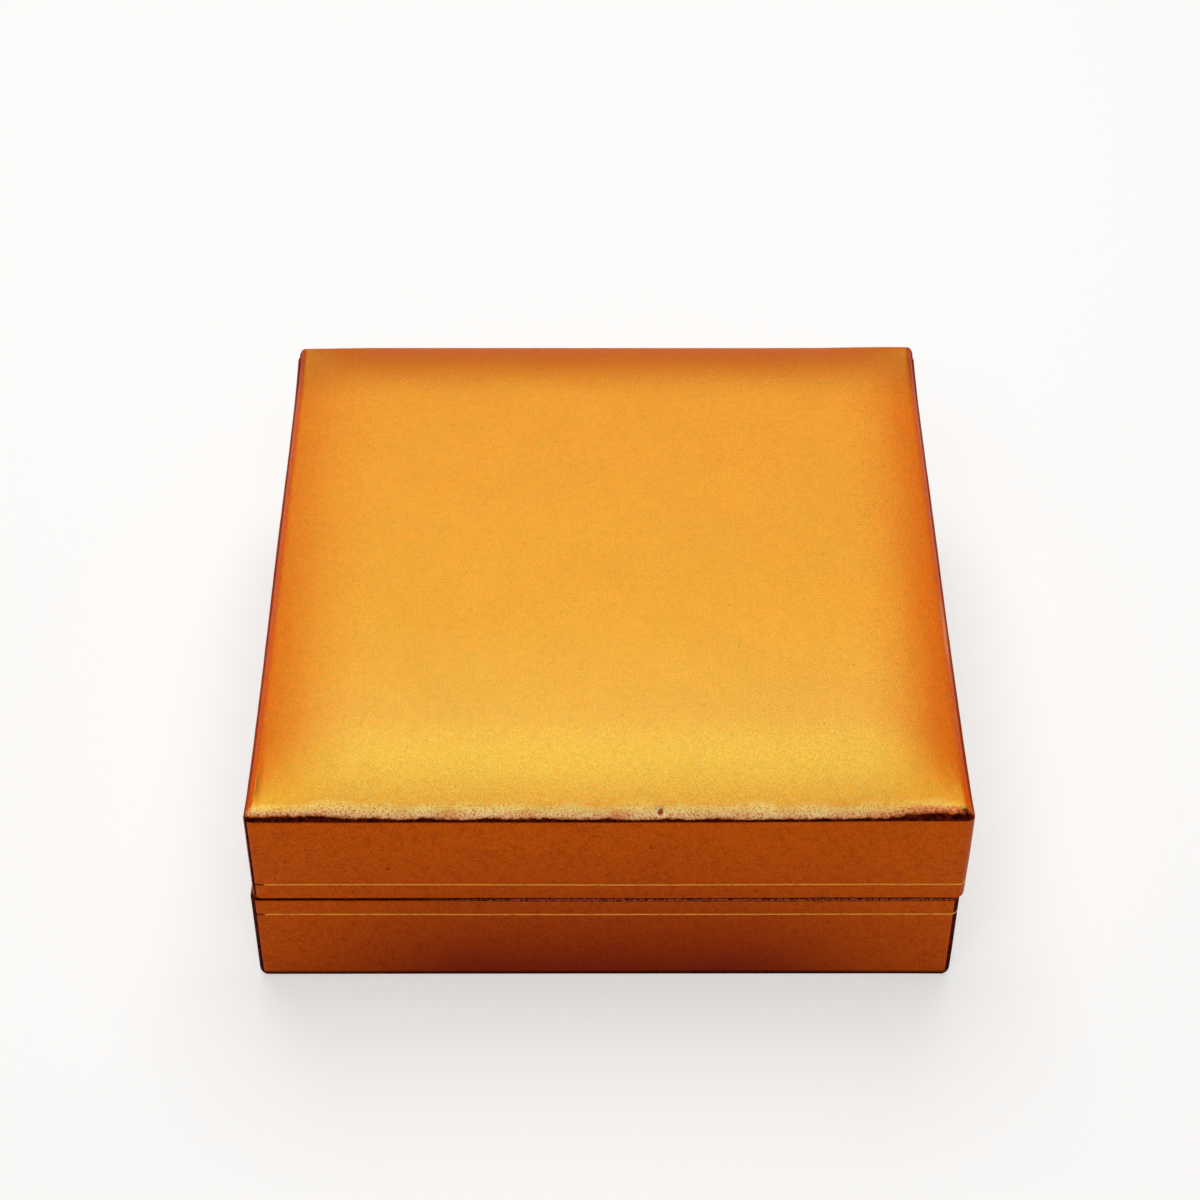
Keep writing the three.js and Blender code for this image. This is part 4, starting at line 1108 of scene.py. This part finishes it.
CAMERA_PLACE = Vector((-2.97, -433.44, 468.91)) * MM
CAMERA_PITCH, CAMERA_YAW, CAMERA_ROLL = np.radians([44.611, 0.267, 0.183])
FOCAL_SHARE = 2686.6 / 1200    # the focal length over the picture's width
SENSOR = 36.0
FLOOR_REACH = 4.0
# Each lamp: its place, what it faces, its width and height in metres, and how bright its face is
LAMPS = {
    "key": ((-0.02, 0.40, 0.96), (0, 0, 0.05), (0.92, 0.94), 4.42),
    "fill": ((-0.08, -0.70, 1.05), (0, 0, 0.04), (0.90, 0.70), 3.55),
}
WORLD_GREY = "#303030"
SWEEP_LIFT = 0.548    # the share of white that the sweep shows of itself


def camera():
    """The camera where the photograph's perspective puts it."""
    pitch, yaw, roll = CAMERA_PITCH, CAMERA_YAW, CAMERA_ROLL
    ahead = Vector((np.sin(yaw) * np.cos(pitch), np.cos(yaw) * np.cos(pitch), -np.sin(pitch)))
    right = Vector((np.cos(yaw), -np.sin(yaw), 0))
    up = right.cross(ahead)
    right, up = np.cos(roll) * right + np.sin(roll) * up, np.cos(roll) * up - np.sin(roll) * right
    data = bpy.data.cameras.new("camera")
    data.sensor_width = SENSOR
    data.sensor_fit = "HORIZONTAL"
    data.lens = SENSOR * FOCAL_SHARE
    data.clip_start, data.clip_end = 0.01, 20
    made = bpy.data.objects.new("camera", data)
    made.matrix_world = Matrix.Translation(CAMERA_PLACE) @ Matrix((right, up, -ahead)).transposed().to_4x4()
    bpy.context.scene.collection.objects.link(made)
    bpy.context.scene.camera = made


def softbox(name, place, target, size, radiance):
    """A soft rectangular lamp that faces the target, its face as bright as radiance."""
    data = bpy.data.lights.new(name, "AREA")
    data.shape = "RECTANGLE"
    data.size, data.size_y = size
    data.energy = radiance * np.pi * size[0] * size[1]
    made = bpy.data.objects.new(name, data)
    made.location = place
    made.rotation_euler = (Vector(target) - Vector(place)).to_track_quat("-Z", "Y").to_euler()
    bpy.context.scene.collection.objects.link(made)


def sweep_material():
    """A white paper sweep, matt.

    Rays from the camera, and those mirrored or let through, see it lifted towards white with its soft shadow
    kept. The light's own rays see plain white paper."""
    material, tree, shader, _ = new_material("white_paper_sweep", Roughness=1.0, Specular_IOR_Level=0.0)
    seen = 0.0
    for ray in ("Is Camera Ray", "Is Glossy Ray", "Is Transmission Ray"):
        seen = add(tree, "Math", {0: seen, 1: add(tree, "LightPath", out=ray)}, operation="MAXIMUM")
    colour = add(tree, "Mix", {0: seen, 6: "#efeeec", 7: "#a2a1a0"}, out=2, data_type="RGBA")
    glow = add(tree, "Math", {0: seen, 1: SWEEP_LIFT}, operation="MULTIPLY")
    feed(shader, {"Base Color": colour, "Emission Color": "#fffefc", "Emission Strength": glow})
    return material


def studio():
    """A white sweep, a dim even world, a large soft key lamp above and behind, and a weaker one in front."""
    mesh = bpy.data.meshes.new("sweep")
    reach = FLOOR_REACH
    corners = [(-reach, -reach, 0), (reach, -reach, 0), (reach, reach, 0), (-reach, reach, 0)]
    mesh.from_pydata(corners, [], [(0, 1, 2, 3)])
    mesh.materials.append(sweep_material())
    made = bpy.data.objects.new("sweep", mesh)
    bpy.context.scene.collection.objects.link(made)
    world = bpy.data.worlds.new("world")
    world.use_nodes = True
    feed(world.node_tree.nodes["Background"], {"Color": WORLD_GREY})
    bpy.context.scene.world = world
    for name, settings in LAMPS.items():
        softbox(name, *settings)
    bpy.context.scene.view_settings.view_transform = "Standard"


camera()
studio()
